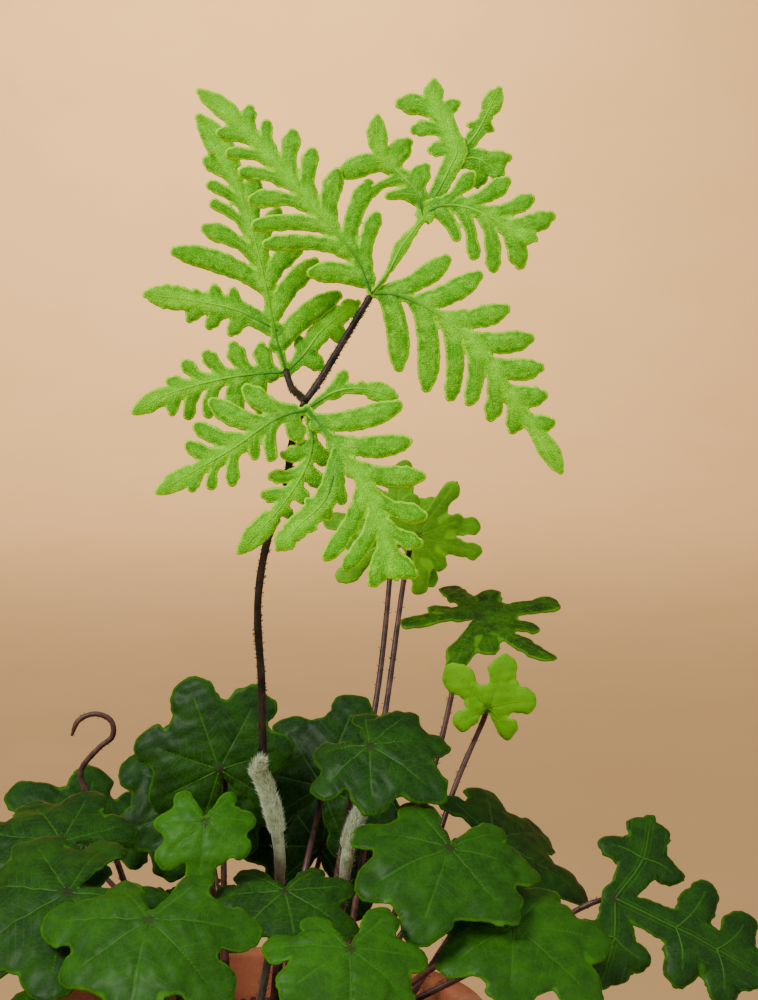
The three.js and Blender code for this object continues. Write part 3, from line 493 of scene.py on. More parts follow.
MIDDLE_DIVISION = [
    pinna([(18, 29), (14, 38.5), (2.5, 52), (-9, 65.5), (-21, 78), (-28.5, 83.5)],
          [(0.5, 35), (-11.5, 42.5), (-14.5, 47.5), (-15.5, 54.5), (-18, 62), (-21.5, 67), (-24, 72.5)],
          [(19.5, 51.5), (17.5, 60), (9, 63), (2, 68.5), (-3, 73.5), (-10.5, 76), (-15, 80)],
          height=(0, 3, 1), left_span=(0.01, 0.78), right_span=(0.03, 0.81)),
    pinna([(18, 29), (22, 34), (26, 41.5), (31.5, 49), (34.5, 54)], [], [],
          web=(0.7, 0.8, 2, 0.9, 2), height=(0.15, 1, 0), span=(0.6, 0.8)),
    pinna([(32, 50), (36, 57), (39, 63), (41, 68), (39, 72), (37.5, 76.5), (35, 80.5), (35, 87)],
          [(33, 68.5), (28.5, 74), (24.5, 81.5)], [(42, 81.5)],
          height=(0, -2, -4), web=(1.6, 3, 2.6), left_span=(0.42, 0.85), right_span=(0.68, 0.84)),
    pinna([(32, 49.5), (30, 56.5), (26.5, 60.5), (21.5, 65.5), (19.5, 71), (19.5, 76.5)],
          [(21, 55.5), (16.5, 56), (8.5, 61)], [(33, 64.5), (28.5, 71)], height=(0.2, 1, 3), span=(0.1, 0.7)),
    pinna([(32, 50), (36, 52.5), (42.5, 52.5), (49, 50), (55, 46.5), (62, 43.5)],
          [(46, 62), (55.5, 60), (62, 55), (67.5, 50)], [(42, 43), (46, 38), (51, 34.5), (58.5, 35.5)],
          height=(-0.1, 2, 3)),
    pinna([(40, 65), (46, 66), (50, 64), (53.5, 62)], [(56, 66.5)], [(46.5, 58)],
          height=(-2.2, -3.5, -4.5), span=(0.2, 0.8), web=(2.4, 3, 2), lobe=5.4),
    pinna([(41, 66), (46.5, 73), (52.5, 84.5)], [(43.5, 75)], [(51.5, 74)],
          height=(-2.4, -4, -2), span=(0.25, 0.7), web=(1.8, 2, 1.6), lobe=4.6),
    pinna([(18, 29), (25, 28.5), (36.5, 23), (47, 14), (55, 2), (65.5, -13), (69, -19)],
          [(39.5, 39), (48, 34.5), (55.5, 25), (62, 17), (64.5, 9), (65.5, 1.5), (67.5, -6)],
          [(25.5, 8), (33, 2.5), (39.5, 0), (44.5, -1.5), (50, -5.5), (56, -9)], height=(-0.15, 3, 2),
          left_span=(0, 0.84), right_span=(0, 0.76)),
]
FAR_DIVISION = [
    pinna([(-5.5, 8.5), (-8, 17), (-12.5, 38), (-17.5, 56), (-24, 71), (-29.5, 79)],
          [(-37.5, 42.5), (-29, 49), (-26.5, 56), (-27.5, 61), (-28.5, 68)],
          [(9.5, 31), (3, 40), (-0.5, 45.5), (-7.5, 54), (-14, 63.5)],
          height=(FAR, FAR + 2, FAR), tip=3, left_span=(0.28, 0.77), right_span=(0.05, 0.62)),
    pinna([(-8, 20), (-18.5, 25.5), (-29.5, 28), (-44, 30)],
          [(-21.5, 18.5), (-27.5, 20.5), (-33, 22.5)], [(-21, 32), (-26, 33), (-31, 31.5)],
          height=(FAR + 0.4, FAR + 3), web=(2.4, 3, 2.4), tip=2.8, lobe=4.6,
          left_span=(0.17, 0.65), right_span=(0.2, 0.68)),
    pinna([(-6.5, 8.5), (-15.5, 8), (-24.5, 6.5), (-39.5, 2), (-47.5, -2.5)],
          [(-13, -3), (-20, -5.5), (-27.5, -4), (-33, -4.5), (-37.5, -3.5)],
          [(-13, 17), (-21, 17), (-28.5, 14.5), (-34.5, 11.5), (-39, 6.5)], height=(FAR - 0.1, FAR + 2),
          left_span=(0.08, 0.75), right_span=(0.02, 0.66)),
    pinna([(-5.5, 8.5), (-0.5, 14), (3.5, 19.5), (8.5, 24), (14, 28)],
          [(-2.5, 19), (5.5, 29)], [(5, 9.5), (10.5, 16.5)],
          height=(FAR - 0.2, FAR - 3), lobe=5, web=(1.4, 3, 2.4)),
]
DIVISIONS = {"near": NEAR_DIVISION, "middle": MIDDLE_DIVISION, "far": FAR_DIVISION}


def curve(points, share):
    """The height of a line through the given (share, height) points."""
    return np.interp(share, *zip(*points))


def mix(values, share):
    """Goes through the values in even steps as share runs from 0 to 1."""
    return np.interp(share, np.linspace(0, 1, len(values)), values)


def near_line(xy, line):
    """For each flat point: its distance from a line, its share of the way along, and its side of it."""
    start, step = line[:-1], np.diff(line, axis=0)
    offset = xy[:, None] - start[None]
    share = np.clip((offset * step).sum(2) / (step ** 2).sum(1), 0, 1)
    away = offset - share[..., None] * step
    distance = np.linalg.norm(away, axis=2)
    best = distance.argmin(1)
    rows = np.arange(len(xy))
    side = step[best, 0] * offset[rows, best, 1] - step[best, 1] * offset[rows, best, 0]
    return distance[rows, best], (best + share[rows, best]) / len(step), np.sign(side)


def joined(fields, soft):
    """Many shapes run into one with rounded inner corners: its depth, each one's weight, and the deepest."""
    top = fields.max(0)
    weights = np.exp((fields - top) / soft)
    total = weights.sum(0)
    return top + soft * np.log(total) - soft * 0.25, weights / total, fields.argmax(0)


def lobe_field(xy, line, radii):
    """How far inside a lobe each point lies, for a lobe that is a row of circles along a line."""
    distance, share, side = near_line(xy, line)
    return np.interp(share, np.linspace(0, 1, len(radii)), radii) - distance, share, distance * side


def gathered(xy, lobes, depth, share, side):
    """The depths, shares and sides of a base shape and of each of its lobes, a row for each."""
    found = [lobe_field(xy, line, radii) for line, radii, *_ in lobes]
    return [np.array(rows) for rows in zip((depth, share, side), *found)]


def ripple(xy, length, seed):
    """Smooth waves over the plane, from -1 to 1."""
    turns = np.random.RandomState(seed).uniform(0, math.tau, (4, 2))
    waves = []
    for i, (way, phase) in enumerate(turns):
        along = xy[:, 0] * math.cos(way) + xy[:, 1] * math.sin(way)
        waves.append(np.sin(along * math.tau / (length * (0.8 + 0.2 * i)) + phase))
    return sum(waves) / 2.4


def with_room(line, radii, neighbours, gap):
    """Radii that keep a lobe half a gap short of halfway to the lobes on either side, with the gap given for
    shares of the lobe's length."""
    gaps = curve(gap, np.linspace(0, 1, len(line)))
    for other in neighbours:
        room = near_line(line, other)[0] / 2 - gaps / 2
        radii = np.minimum(radii, np.maximum(room, LEAST_RADIUS))
    return radii


def lobes_of(shape):
    """The centre line, radii and rib share of each finger of a pinna."""
    rib = smooth_line(shape["rib"], RIB_POINTS)
    found = []
    for side, way in (("left", 1), ("right", -1)):
        tips = shape[side]
        low, high = shape.get(side + "_span", shape["span"])
        lines = []
        for i, tip in enumerate(tips):
            place = low + (high - low) * (i + 0.5) / len(tips)
            root = rib[round(place * (RIB_POINTS - 1))]
            along = np.array(tip) - root
            length = np.linalg.norm(along)
            across = np.array((-along[1], along[0])) / length
            t = np.linspace(0, 1, LOBE_POINTS)[:, None]
            half = min(shape["lobe"] / 2, length * 0.34)
            reach = 1 - shape["outline"][-1][1] * half / length
            line = root + along * t * reach - across * np.sin(t * math.pi) * 0.05 * length * way
            lines.append((line, half * curve(shape["outline"], t[:, 0]), place))
        for i, (line, radii, place) in enumerate(lines):
            neighbours = [lines[j][0] for j in (i - 1, i + 1) if 0 <= j < len(lines)]
            found.append((line, with_room(line, radii, neighbours, FINGER_GAP), place))
    return found


def pinna_field(shape, xy, seed):
    """The pinna's edge, heights and vein measures at flat points, in millimetres."""
    rib = smooth_line(shape["rib"], RIB_POINTS)
    distance, share, side = near_line(xy, rib)
    lobes = lobes_of(shape)
    ends = [shape.get(s + "_span", shape["span"])[1] for s in ("left", "right") if shape[s]]
    last = max(ends, default=shape["span"][1])
    closing = np.clip((share - last) / (1 - last), 0, 1)
    web = np.where(share < last, mix(shape["web"], share), curve(TIP_SHAPE, closing) * shape["tip"])
    depths, shares, sides = gathered(xy, lobes, web - distance, np.zeros(len(xy)), distance * side)
    inside, weights, best = joined(depths, shape["soft"])
    small_waves = 0.45 * ripple(xy, shape["lobe"] * 0.2, seed + 1)
    inside += shape["wave"] * (ripple(xy, shape["lobe"] * 0.55, seed) + small_waves)
    draw = np.random.RandomState(seed + 2)
    lifts = np.concatenate([[0], draw.uniform(-1.5, 0.9, len(lobes))])
    lift = (weights * lifts[:, None] * shares ** 2).sum(0)
    rows = np.arange(len(xy))
    aside = np.abs(sides[best, rows])
    along = shares[best, rows]
    arch = np.clip(aside, 0, shape["lobe"] / 2) ** 2 * 0.55 / shape["lobe"]
    roll = 0.4 * np.exp(-np.clip(inside, 0, None) / 0.45)
    height = (mix(shape["height"], share) - shape["droop"] * distance ** 2 + lift - arch * (best > 0) - roll
              + 0.12 * ripple(xy, 5, seed + 3))
    return {"inside": inside, "height": height, "rib": distance, "lobe": aside,
            "hub": np.linalg.norm(xy - rib[0], axis=1), "vein": along * shape["run"] + aside * 0.9,
            "tip": np.where(best > 0, along, np.clip(closing * 1.4 - 0.4, 0, 1))}


def grown_sheet(bm, low, high, cell, field, to_space, layers):
    """Adds a thin leaf sheet to a bmesh: a grid over a box, cut to the outline where field() has its inside
    at 0, with its rim drawn onto the outline, raised to its height and laid in space."""
    columns, rows = (math.ceil((b - a) / cell) + 1 for a, b in zip(low, high))
    sheet = bmesh.new()
    bmesh.ops.create_grid(sheet, x_segments=columns, y_segments=rows, size=0.5)
    size = Vector((columns * cell, rows * cell, 1))
    bmesh.ops.scale(sheet, vec=size, verts=sheet.verts)
    bmesh.ops.translate(sheet, vec=Vector((low[0], low[1], 0)) + size / 2, verts=sheet.verts)

    def flat(verts):
        return np.array([vert.co.xy for vert in verts], float)

    sheet.verts.ensure_lookup_table()
    inside = field(flat(sheet.verts))["inside"]
    outside = [vert for vert, depth in zip(sheet.verts, inside) if depth < -0.55 * cell]
    bmesh.ops.delete(sheet, geom=outside, context="VERTS")
    loose = [vert for vert in sheet.verts if not vert.link_faces]
    bmesh.ops.delete(sheet, geom=loose, context="VERTS")
    rim = [vert for vert in sheet.verts if vert.is_boundary]
    places = flat(rim)
    step = 0.03
    for _ in range(RIM_PASSES):
        here = field(places)["inside"]
        right = field(places + (step, 0))["inside"] - here
        up = field(places + (0, step))["inside"] - here
        slope = np.stack([right, up], axis=1) / step
        steep = np.maximum((slope ** 2).sum(1), 0.3)
        places -= np.clip(here / steep, -cell, cell)[:, None] * slope
    for vert, place in zip(rim, places):
        vert.co.xy = place
    inner = [vert for vert in sheet.verts if not vert.is_boundary]
    for _ in range(2):
        bmesh.ops.smooth_vert(sheet, verts=inner, factor=0.5, use_axis_x=True, use_axis_y=True)
    found = field(flat(sheet.verts))
    copies = {}
    for i, vert in enumerate(sheet.verts):
        made = bm.verts.new(to_space(vert.co.x, vert.co.y, found["height"][i]))
        for name, layer in layers.items():
            made[layer] = found[name][i]
        copies[vert] = made
    for face in sheet.faces:
        bm.faces.new([copies[vert] for vert in face.verts])
    sheet.free()


def leaf_axes(along, face):
    """The way a leaf points, and the way its upper face looks, square to it."""
    up = Vector(along).normalized()
    out = Vector(face)
    return up, (out - up * out.dot(up)).normalized()


def leaf_plane(hub, along, face):
    """A leaf's own plane in space: a function from millimetres in it to a point."""
    up, out = leaf_axes(along, face)
    right = up.cross(out)
    hub = Vector(hub)
    return lambda x, y, h: (hub + right * float(x) + up * float(y) + out * float(h)) * MM


def leaf_layers(bm):
    return {name: bm.verts.layers.float.new(name) for name in ("inside", "rib", "lobe", "hub", "vein", "tip")}


def frond_finish():
    material, shader, place = finish("frond_green", Subsurface_Weight=0.15, Subsurface_Radius=(0.4, 0.8, 0.1),
                                     Subsurface_Scale=0.001, Specular_IOR_Level=0.1)
    margin, rib, lobe = read(place, "inside"), read(place, "rib"), read(place, "lobe")
    vein, tip, hub = read(place, "vein"), read(place, "tip"), read(place, "hub")
    mottle = place.speckle(380, 4, 0.7)
    grain = place.speckle(950, 3, 0.6)
    fine = place.speckle(2300, 3, 0.7)
    net = place.cells(1500, "DISTANCE_TO_EDGE")
    strokes = (vein * 7.5).maths("SINE") * 0.5 + 0.5
    edge = 1 - margin.ramp(0.2, 0.6)
    painted_edge_shade = margin.ramp(0.35, 0.75) * (1 - margin.ramp(0.9, 1.8))
    rib_tint_and_glow = 1 - rib.ramp(0.8, 3.6)
    green = mottle.ramp(0.36, 0.64).blend((0.07, 0.43, 0.001), (0.36, 1, 0.02))
    green = (grain.ramp(0.5, 0.7) * 0.45).blend(green, (0.03, 0.2, 0.001))
    green = (fine.ramp(0.5, 0.68) * 0.45).blend(green, (0.02, 0.16, 0.001))
    green = ((1 - net.ramp(0.0, 0.1)) * 0.3).blend(green, (0.38, 0.74, 0.04))
    green = (strokes * mottle.ramp(0.3, 0.6) * 0.3).blend(green, (0.05, 0.28, 0.001))
    # Painted shade: a darker green band just inside the pale margin, standing in for the shadow beside the
    # rolled edge.
    green = (painted_edge_shade * 0.4).blend(green, (0.04, 0.26, 0.001))
    # Painted glow of light through the blade, partly the rib's own colour: paler yellow-green along each rib.
    green = (rib_tint_and_glow * hub.ramp(4, 22) * 0.5).blend(green, (0.28, 0.85, 0.001))
    # Near the hub the same band has the rib's own dark teal.
    green = (rib_tint_and_glow * (1 - hub.ramp(4, 22)) * 0.4).blend(green, (0.06, 0.3, 0.03))
    streak = (1 - lobe.ramp(0.3, 1.7)) * tip.ramp(0.1, 0.4) * mottle.ramp(0.35, 0.6)
    green = (streak * 0.55).blend(green, (0.05, 0.3, 0.003))
    green = (edge * (tip.ramp(0.3, 0.95) * 0.3 + 0.7)).blend(green, (0.48, 1, 0.001))
    relief = net.ramp(0, 0.2) + fine * 0.7 + grain * 0.8 + mottle * 0.8
    paint(shader, green, 0.46 + fine * 0.2, relief, 0.0004, 0.7)
    return material


def vein_finish(name, root, tip):
    material, shader, place = finish(name, Roughness=0.5, Specular_IOR_Level=0.25)
    tone = read(place, "share").ramp(0.02, 0.45).blend(root, tip)
    tone = (place.speckle(900, 3).ramp(0.4, 0.7) * 0.3).blend(tone, root)
    paint(shader, tone, None, place.speckle(1800, 2), 0.0002, 0.4)
    return material


def add_vein(bm, layer, points, radii, shares):
    """Adds one raised vein, with its share of the way to the tip kept on its points."""
    before = len(bm.verts)
    add_tube(bm, points, radii * MM, VEIN_SIDES)
    bm.verts.ensure_lookup_table()
    for i, vert in enumerate(bm.verts[before:]):
        vert[layer] = shares[i // VEIN_SIDES]


def thicken(blade, thickness):
    """Gives a sheet its thickness, half of it to each side."""
    thick = blade.modifiers.new("thickness", "SOLIDIFY")
    thick.thickness = thickness
    thick.offset = 0
    return thick


frond_green = frond_finish()
rib_green = vein_finish("frond_ribs", (0.03, 0.16, 0.014), (0.24, 0.7, 0.008))
frond_space = leaf_plane(FORK / MM, FROND_UP, FROND_FACE)
for k, (division, shapes) in enumerate(DIVISIONS.items()):
    bm, ribs = bmesh.new(), bmesh.new()
    layers = leaf_layers(bm)
    share_layer = ribs.verts.layers.float.new("share")
    for j, shape in enumerate(shapes):
        seed = 100 + 20 * k + j
        reach = np.array([*shape["rib"], *shape["left"], *shape["right"]], float)
        grown_sheet(bm, reach.min(0) - 4, reach.max(0) + 4, FROND_CELL,
                    lambda xy, s=shape, n=seed: pinna_field(s, xy, n), frond_space, layers)
        rib = smooth_line(shape["rib"], 40)[shape["rib_from"]:-2]
        share = np.linspace(0, 1, len(rib))
        runs = [(rib, np.interp(share, (0, 0.2, 1), (0.2, 0.34, 0.13)), share)]
        for line, _, place in lobes_of(shape):
            line = line[:-3]
            runs.append((line, np.linspace(0.12, 0.05, len(line)), np.full(len(line), 0.25 + place * 0.75)))
        for line, radii, shares in runs:
            heights = pinna_field(shape, line, seed)["height"] + VEIN_LIFT
            points = [frond_space(x, y, h) for (x, y), h in zip(line, heights)]
            add_vein(ribs, share_layer, points, radii, shares)
    blade = show(bm, "tall_frond_%s_pinnae" % division, frond_green,
                 replaced=["tall_frond_blade_" + division])
    thicken(blade, FROND_THICKNESS)
    show(ribs, "tall_frond_%s_ribs" % division, rib_green)

# Sterile leaves
# Broad leathery leaves on purple-brown wiry stalks all round the crown, each cut into rounded lobes about
# one hub. They are dark above, with a thin yellow-green margin and sunken main veins, and paler below.
ROUND_LEAF = {
    "angles": (-50, -6, 41, 90, 139, 186, 230), "reach": (0.76, 0.88, 0.93, 1, 0.93, 0.88, 0.76),
    "notch": (0.24, 0.58, 0.66, 0.72, 0.72, 0.66, 0.58, 0.24), "width": 0.54, "turn": 7, "change": 0.16,
    "dome": 0.05, "droop": 0.2,
}
LOBE_SHAPE = [(0, 0.5), (0.3, 0.72), (0.65, 1), (0.9, 0.96), (1, 0.86)]
PALM_GAP = [(0, 0.7), (1, 0.7)]
LEAF_CELL, LEAF_THICKNESS = 0.75, 0.55 * MM
STALK_FOOT, STALK_HEAD, HUB_GAP, CAD_BLADE = 1.1, 0.8, 0.35, 0.8
CROWN_RADIUS, CROWN_SPREAD, STALK_RINGS = 9, 0.3, 70
LEAVES = {
    "top_left": ((-9, 16, 184), (-0.35, 0.1, 0.9), (-0.1, -0.9, 0.5), 28, 0.1),
    "top_back": ((20, 34, 175), (0.3, 0.3, 0.8), (0, -0.8, 0.6), 29, 0.0),
    "top_right": ((34, 3, 194), (0.5, -0.4, -0.2), (0, -0.6, 0.8), 26, 0.1),
    "left_back": ((-53, 4, 166), (-0.9, 0.15, 0.1), (-0.3, -0.4, 0.85), 30, 0.1),
    "left_front": ((-48, -30, 160), (-0.85, -0.45, -0.35), (-0.3, -0.6, 0.75), 38, 0.15),
    "front_small": ((-11, -22, 178), (0, -0.6, -0.7), (0, -0.75, 0.6), 18, 0.8),
    "front_left": ((-24, -54, 159), (-0.1, -0.75, -0.5), (-0.1, -0.6, 0.8), 33, 0.45),
    "front_middle": ((29, -61, 153), (0, -0.7, -0.5), (0.1, -0.6, 0.75), 25, 0.6),
    "front_right": ((56, -24, 171), (-0.2, -0.75, -0.4), (0.1, -0.6, 0.8), 33, 0.35),
    "right_back": ((70, 24, 162), (0.8, 0.1, -0.4), (0.4, -0.4, 0.85), 32, 0.1),
    "right_low": ((73, -34, 152), (0.7, -0.5, -0.45), (0.4, -0.7, 0.65), 30, 0.5),
    "back_right": ((19, 55, 152), (0.15, 0.25, 0.9), (0, -0.9, 0.35), 31, 0.0),
    "back_middle": ((-16, 52, 166), (-0.2, 0.5, 0.8), (0, -0.75, 0.65), 33, 0.05),
    "back_left": ((-52, 60, 152), (-0.6, 0.3, 0.5), (-0.1, -0.5, 0.8), 30, 0.1),
    "low_left": ((-70, 4, 142), (-0.9, 0.05, -0.4), (-0.4, -0.1, 0.9), 31, 0.2),
    "low_front_left": ((-56, -64, 131), (-0.5, -0.7, -0.5), (-0.4, -0.6, 0.75), 30, 0.25),
    "low_front": ((2, -86, 127), (0.1, -0.85, -0.5), (0, -0.6, 0.8), 28, 0.5),
    "low_back_right": ((68, 56, 138), (0.6, 0.7, -0.4), (0.4, 0.4, 0.85), 30, 0.15),
    "low_back_left": ((-30, 80, 132), (-0.3, 0.85, -0.5), (-0.2, 0.5, 0.85), 29, 0.15),
    "inner": ((11, -28, 160), (0.1, -0.8, -0.35), (0, -0.55, 0.8), 24, 0.15),
}
OWN_ROOTS = {"low_back_right": (44, 12)}


def steady(seed):
    """The same run of numbers from 0 to 1 that the solids use, so that both have the same lobes."""
    state = seed
    while True:
        state = (state * 1664525 + 1013904223) % 4294967296
        yield state / 4294967296


def palm_leaf(size, draw, form):
    """A palm-shaped leaf: the angle and reach of each lobe and notch, and how it bends."""
    angles = [angle + (next(draw) - 0.5) * form["turn"] for angle in form["angles"]]
    reaches = [size * reach * (1 + (next(draw) - 0.5) * form["change"]) for reach in form["reach"]]
    between = [(a + b) / 2 for a, b in zip(angles, angles[1:])]
    return {"size": size, "angles": angles, "reaches": reaches, "width": size * form["width"],
            "dome": size * form["dome"], "notches": [angles[0] - 20, *between, angles[-1] + 20],
            "notch": [size * n for n in form["notch"]], "droop": form["droop"] / size,
            "phase": next(draw) * 6}


def palm_lobes(leaf):
    """The centre line and radii of each lobe of a palm-shaped leaf."""
    t = np.linspace(0.12, 1, LOBE_POINTS)
    radii = leaf["width"] / 2 * curve(LOBE_SHAPE, t)
    lines = []
    for angle, reach in zip(leaf["angles"], leaf["reaches"]):
        way = np.array((math.cos(math.radians(angle)), math.sin(math.radians(angle))))
        lines.append(way * t[:, None] * (reach - LOBE_SHAPE[-1][1] * leaf["width"] / 2))
    beside = [[lines[j] for j in (i - 1, i + 1) if 0 <= j < len(lines)] for i in range(len(lines))]
    return [(line, with_room(line, radii, others, PALM_GAP)) for line, others in zip(lines, beside)]


def palm_field(leaf, xy, seed):
    """A palm-shaped leaf's edge, heights and vein measures at flat points, in millimetres."""
    size = leaf["size"]
    reach = np.linalg.norm(xy, axis=1)
    angle = np.degrees(np.arctan2(xy[:, 1], xy[:, 0]))
    wrapped = np.where(angle < -90, angle + 360, angle)
    neck = 0.07 * size
    places = [-90, leaf["notches"][0] - 9, *leaf["notches"], leaf["notches"][-1] + 9, 270]
    disc = np.interp(wrapped, places, [neck, neck, *leaf["notch"], neck, neck]) - reach
    base = disc * 0.9, reach / size, np.full(len(xy), size)
    depths, shares, sides = gathered(xy, palm_lobes(leaf), *base)
    inside, weights, _ = joined(depths, 0.03 * size)
    inside += 0.022 * size * ripple(xy, 0.26 * size, seed) + 0.005 * size * ripple(xy, 0.09 * size, seed + 1)
    draw = np.random.RandomState(seed + 2)
    lifts = np.concatenate([[0], draw.uniform(-0.07, 0.04, len(depths) - 1)]) * size
    lift = (weights * lifts[:, None] * shares ** 2).sum(0)
    across = np.abs(sides[1:])
    aside, nearest = across.min(0), across.argmin(0) + 1
    blister = 0.008 * size * ripple(xy, 0.16 * size, seed + 3)
    groove = -0.45 * np.exp(-(aside / 0.7) ** 2) * np.clip(1.3 - reach / size, 0, 1)
    roll = 0.7 * np.exp(-np.clip(inside, 0, None) / 0.9)
    bend = leaf["dome"] * np.sin(angle * math.pi / 180 * 3 + leaf["phase"]) * (reach / size) ** 2
    height = bend - leaf["droop"] * reach ** 2 + lift + blister + groove - roll
    along = shares[nearest, np.arange(len(xy))]
    return {"inside": inside, "height": height, "rib": reach, "lobe": aside,
            "hub": reach, "vein": along * size - aside * 0.8, "tip": along}


def leaf_finish(name, dark, light, margin_green, roughness, coat):
    material, shader, place = finish(name, Specular_IOR_Level=0.12, Coat_Weight=coat, Coat_Roughness=0.34,
                                     Coat_Tint=(0.75, 0.95, 1, 1))
    margin, hub, lobe = read(place, "inside"), read(place, "hub"), read(place, "lobe")
    vein, tone = read(place, "vein"), read(place, "tone")
    mottle = place.speckle(130, 5, 0.65)
    fine = place.speckle(1500, 3, 0.7)
    net = place.cells(700, "DISTANCE_TO_EDGE")
    rows = ((vein * 1.7).maths("SINE") * 0.5 + 0.5).ramp(0.93, 1.0)
    side_veins = rows * (1 - read(place, "tip").ramp(0.6, 0.9))
    green = tone.blend(dark, light)
    green = (mottle.ramp(0.35, 0.68) * (tone * 0.3 + 0.3)).blend(green, tone.blend(light, margin_green))
    green = (fine.ramp(0.5, 0.75) * 0.25).blend(green, dark)
    green = (side_veins * 0.16).blend(green, margin_green)
    green = ((1 - net.ramp(0.0, 0.12)) * 0.1).blend(green, margin_green)
    green = ((1 - lobe.ramp(0.15, 0.55)) * (tone * 0.3 + 0.2)).blend(green, margin_green)
    green = ((1 - margin.ramp(0.2, 0.8)) * (tone * 0.5 + 0.4)).blend(green, margin_green)
    green = ((1 - hub.ramp(0.8, 2.2)) * 0.6).blend(green, (0.03, 0.015, 0.01))
    relief = net.ramp(0, 0.25) * 0.4 + fine * 0.3 - side_veins * 0.5 + mottle * 0.5
    paint(shader, green, roughness + fine * 0.16 + mottle * 0.12, relief, 0.0003, 0.25)
    return material


def stalk_points(hub, along, face, root, lift, by=None):
    """A leaf's stalk: straight out of the soil, arching out, and ending just under the hub."""
    up, out = leaf_axes(along, face)
    end = (Vector(hub) - out * (CAD_BLADE / 2 + HUB_GAP + STALK_HEAD * 0.6)) * MM
    below = end - (out * 5 + up * 4) * MM
    middle = Vector((root[0] + (hub[0] - root[0]) * 0.42, root[1] + (hub[1] - root[1]) * 0.42, 0)) * MM
    middle.z = SOIL_TOP + (hub[2] * MM - SOIL_TOP) * lift
    return [*footing(root), Vector(by) * MM if by else middle, below, end + out * HUB_GAP * 0.6 * MM]


def root_of(hub):
    """Where a leaf's stalk comes out of the soil: under its hub, and close to the crown."""
    reach = math.hypot(hub[0], hub[1])
    radius = CROWN_RADIUS + CROWN_SPREAD * reach
    return hub[0] / reach * radius, hub[1] / reach * radius


def add_stalk(name, points, seed, hairs, node):
    """One wiry stalk, a little rough and hairy at its foot, with a slight swelling under the leaf."""
    line = smooth_line(points, STALK_RINGS)
    share = np.linspace(0, 1, STALK_RINGS)
    radii = STALK_FOOT + (STALK_HEAD - STALK_FOOT) * share + 0.22 * np.exp(-((1 - share) / 0.03) ** 2)
    radii = [r * MM * (1 + 0.1 * noise.noise(Vector(p) * 240)) for r, p in zip(radii, line)]
    bm = add_tube(bmesh.new(), line, radii, 10)
    add_hairs(bm, line, radii, hairs, 1.1 * MM, 0.15 * MM, 1.2, seed, 0.1)
    show(bm, name, stalk_brown, replaced=[node])


def add_blade(name, fields, plane, faces, node, tone, ribs, rib_material, rib_sizes):
    """One leaf blade of one or more sheets, with raised veins on its upper face and its own underside."""
    bm, veins = bmesh.new(), bmesh.new()
    layers = leaf_layers(bm)
    tone_layer = bm.verts.layers.float.new("tone")
    share_layer = veins.verts.layers.float.new("share")
    for low, high, field in fields:
        grown_sheet(bm, low, high, LEAF_CELL, field, plane, layers)
    for vert in bm.verts:
        vert[tone_layer] = tone
    for line, field, low, high in ribs:
        heights = field(line)["height"] + LEAF_THICKNESS / MM * 0.4
        points = [plane(x, y, h) for (x, y), h in zip(line, heights)]
        shares = low + (high - low) * np.arange(len(line)) / len(line)
        add_vein(veins, share_layer, points, np.linspace(*rib_sizes, len(line)), shares)
    blade = show(bm, name, faces[0], replaced=[node])
    blade.data.materials.append(faces[1])
    thicken(blade, LEAF_THICKNESS).material_offset = 1
    show(veins, name + "_veins", rib_material)


def palm_blade(name, leaf, plane, seed, faces, node, tone, rib_material):
    """A palm-shaped leaf blade, with a vein along each of its lobes."""
    box = leaf["size"] * 1.16
    ribs = []
    for line, _ in palm_lobes(leaf):
        drawn_in = np.linspace(0.5, 0.97, len(line))[:, None] ** 0.8
        ribs.append((line * drawn_in, lambda xy: palm_field(leaf, xy, seed), 0.3, 1))
    sheet = (-box, -box), (box, box), lambda xy: palm_field(leaf, xy, seed)
    add_blade(name, [sheet], plane, faces, node, tone, ribs, rib_material, (0.34, 0.12))


stalk_brown = stem_finish("stalk_brown", (0.03, 0.012, 0.01), (0.13, 0.055, 0.04), 0.42, 0.2)
leaf_faces = [
    leaf_finish("leaf_green", (0.003, 0.02, 0.001), (0.022, 0.11, 0.001), (0.05, 0.2, 0.001), 0.5, 0.08),
    leaf_finish("leaf_under", (0.028, 0.075, 0.014), (0.05, 0.15, 0.02), (0.08, 0.22, 0.02), 0.6, 0),
]
leaf_rib = vein_finish("leaf_ribs", (0.012, 0.05, 0.003), (0.028, 0.12, 0.002))
draw = steady(17)
for k, (name, (hub, along, face, size, tone)) in enumerate(LEAVES.items()):
    leaf = palm_leaf(size, draw, ROUND_LEAF)
    palm_blade("leaf_%s_lamina" % name, leaf, leaf_plane(hub, along, face), 300 + 10 * k, leaf_faces,
               "leaf_%s_blade" % name, tone, leaf_rib)
    root = OWN_ROOTS.get(name) or root_of(hub)
    add_stalk("leaf_%s_petiole" % name, stalk_points(hub, along, face, root, 0.62), 500 + k, 60,
              "leaf_%s_stalk" % name)

# Far right leaf
# A larger sterile leaf on a long leaning stalk, cut into one long middle division and two short side ones.
# It hangs clear of the clump, with the same dark glossy face and pale margin.
FAR_HUB, FAR_ALONG, FAR_FACE = (103, -2, 151), (0.9, -0.1, -0.42), (0.1, -0.75, 0.65)
FAR_SIZE, FAR_ROOT = 48, (36, -2)
FAR_PINNAE = [
    ([(0, 0), (0.02, 0.5), (0, 1)], [(-0.4, 0.5), (-0.34, 0.8)], [(0.34, 0.56), (0.3, 0.84)],
     (0.25, 0.8), (0, 2, -3)),
    ([(0, 0), (-0.3, 0.06), (-0.62, 0.02)], [(-0.3, -0.22)], [(-0.34, 0.34)], (0.25, 0.75), (0.15, 1, -3)),
    ([(0, 0), (0.24, 0.08), (0.5, 0.12)], [(0.28, 0.34)], [(0.26, -0.14)], (0.25, 0.75), (-0.15, 1, -3)),
]
fields, ribs = [], []
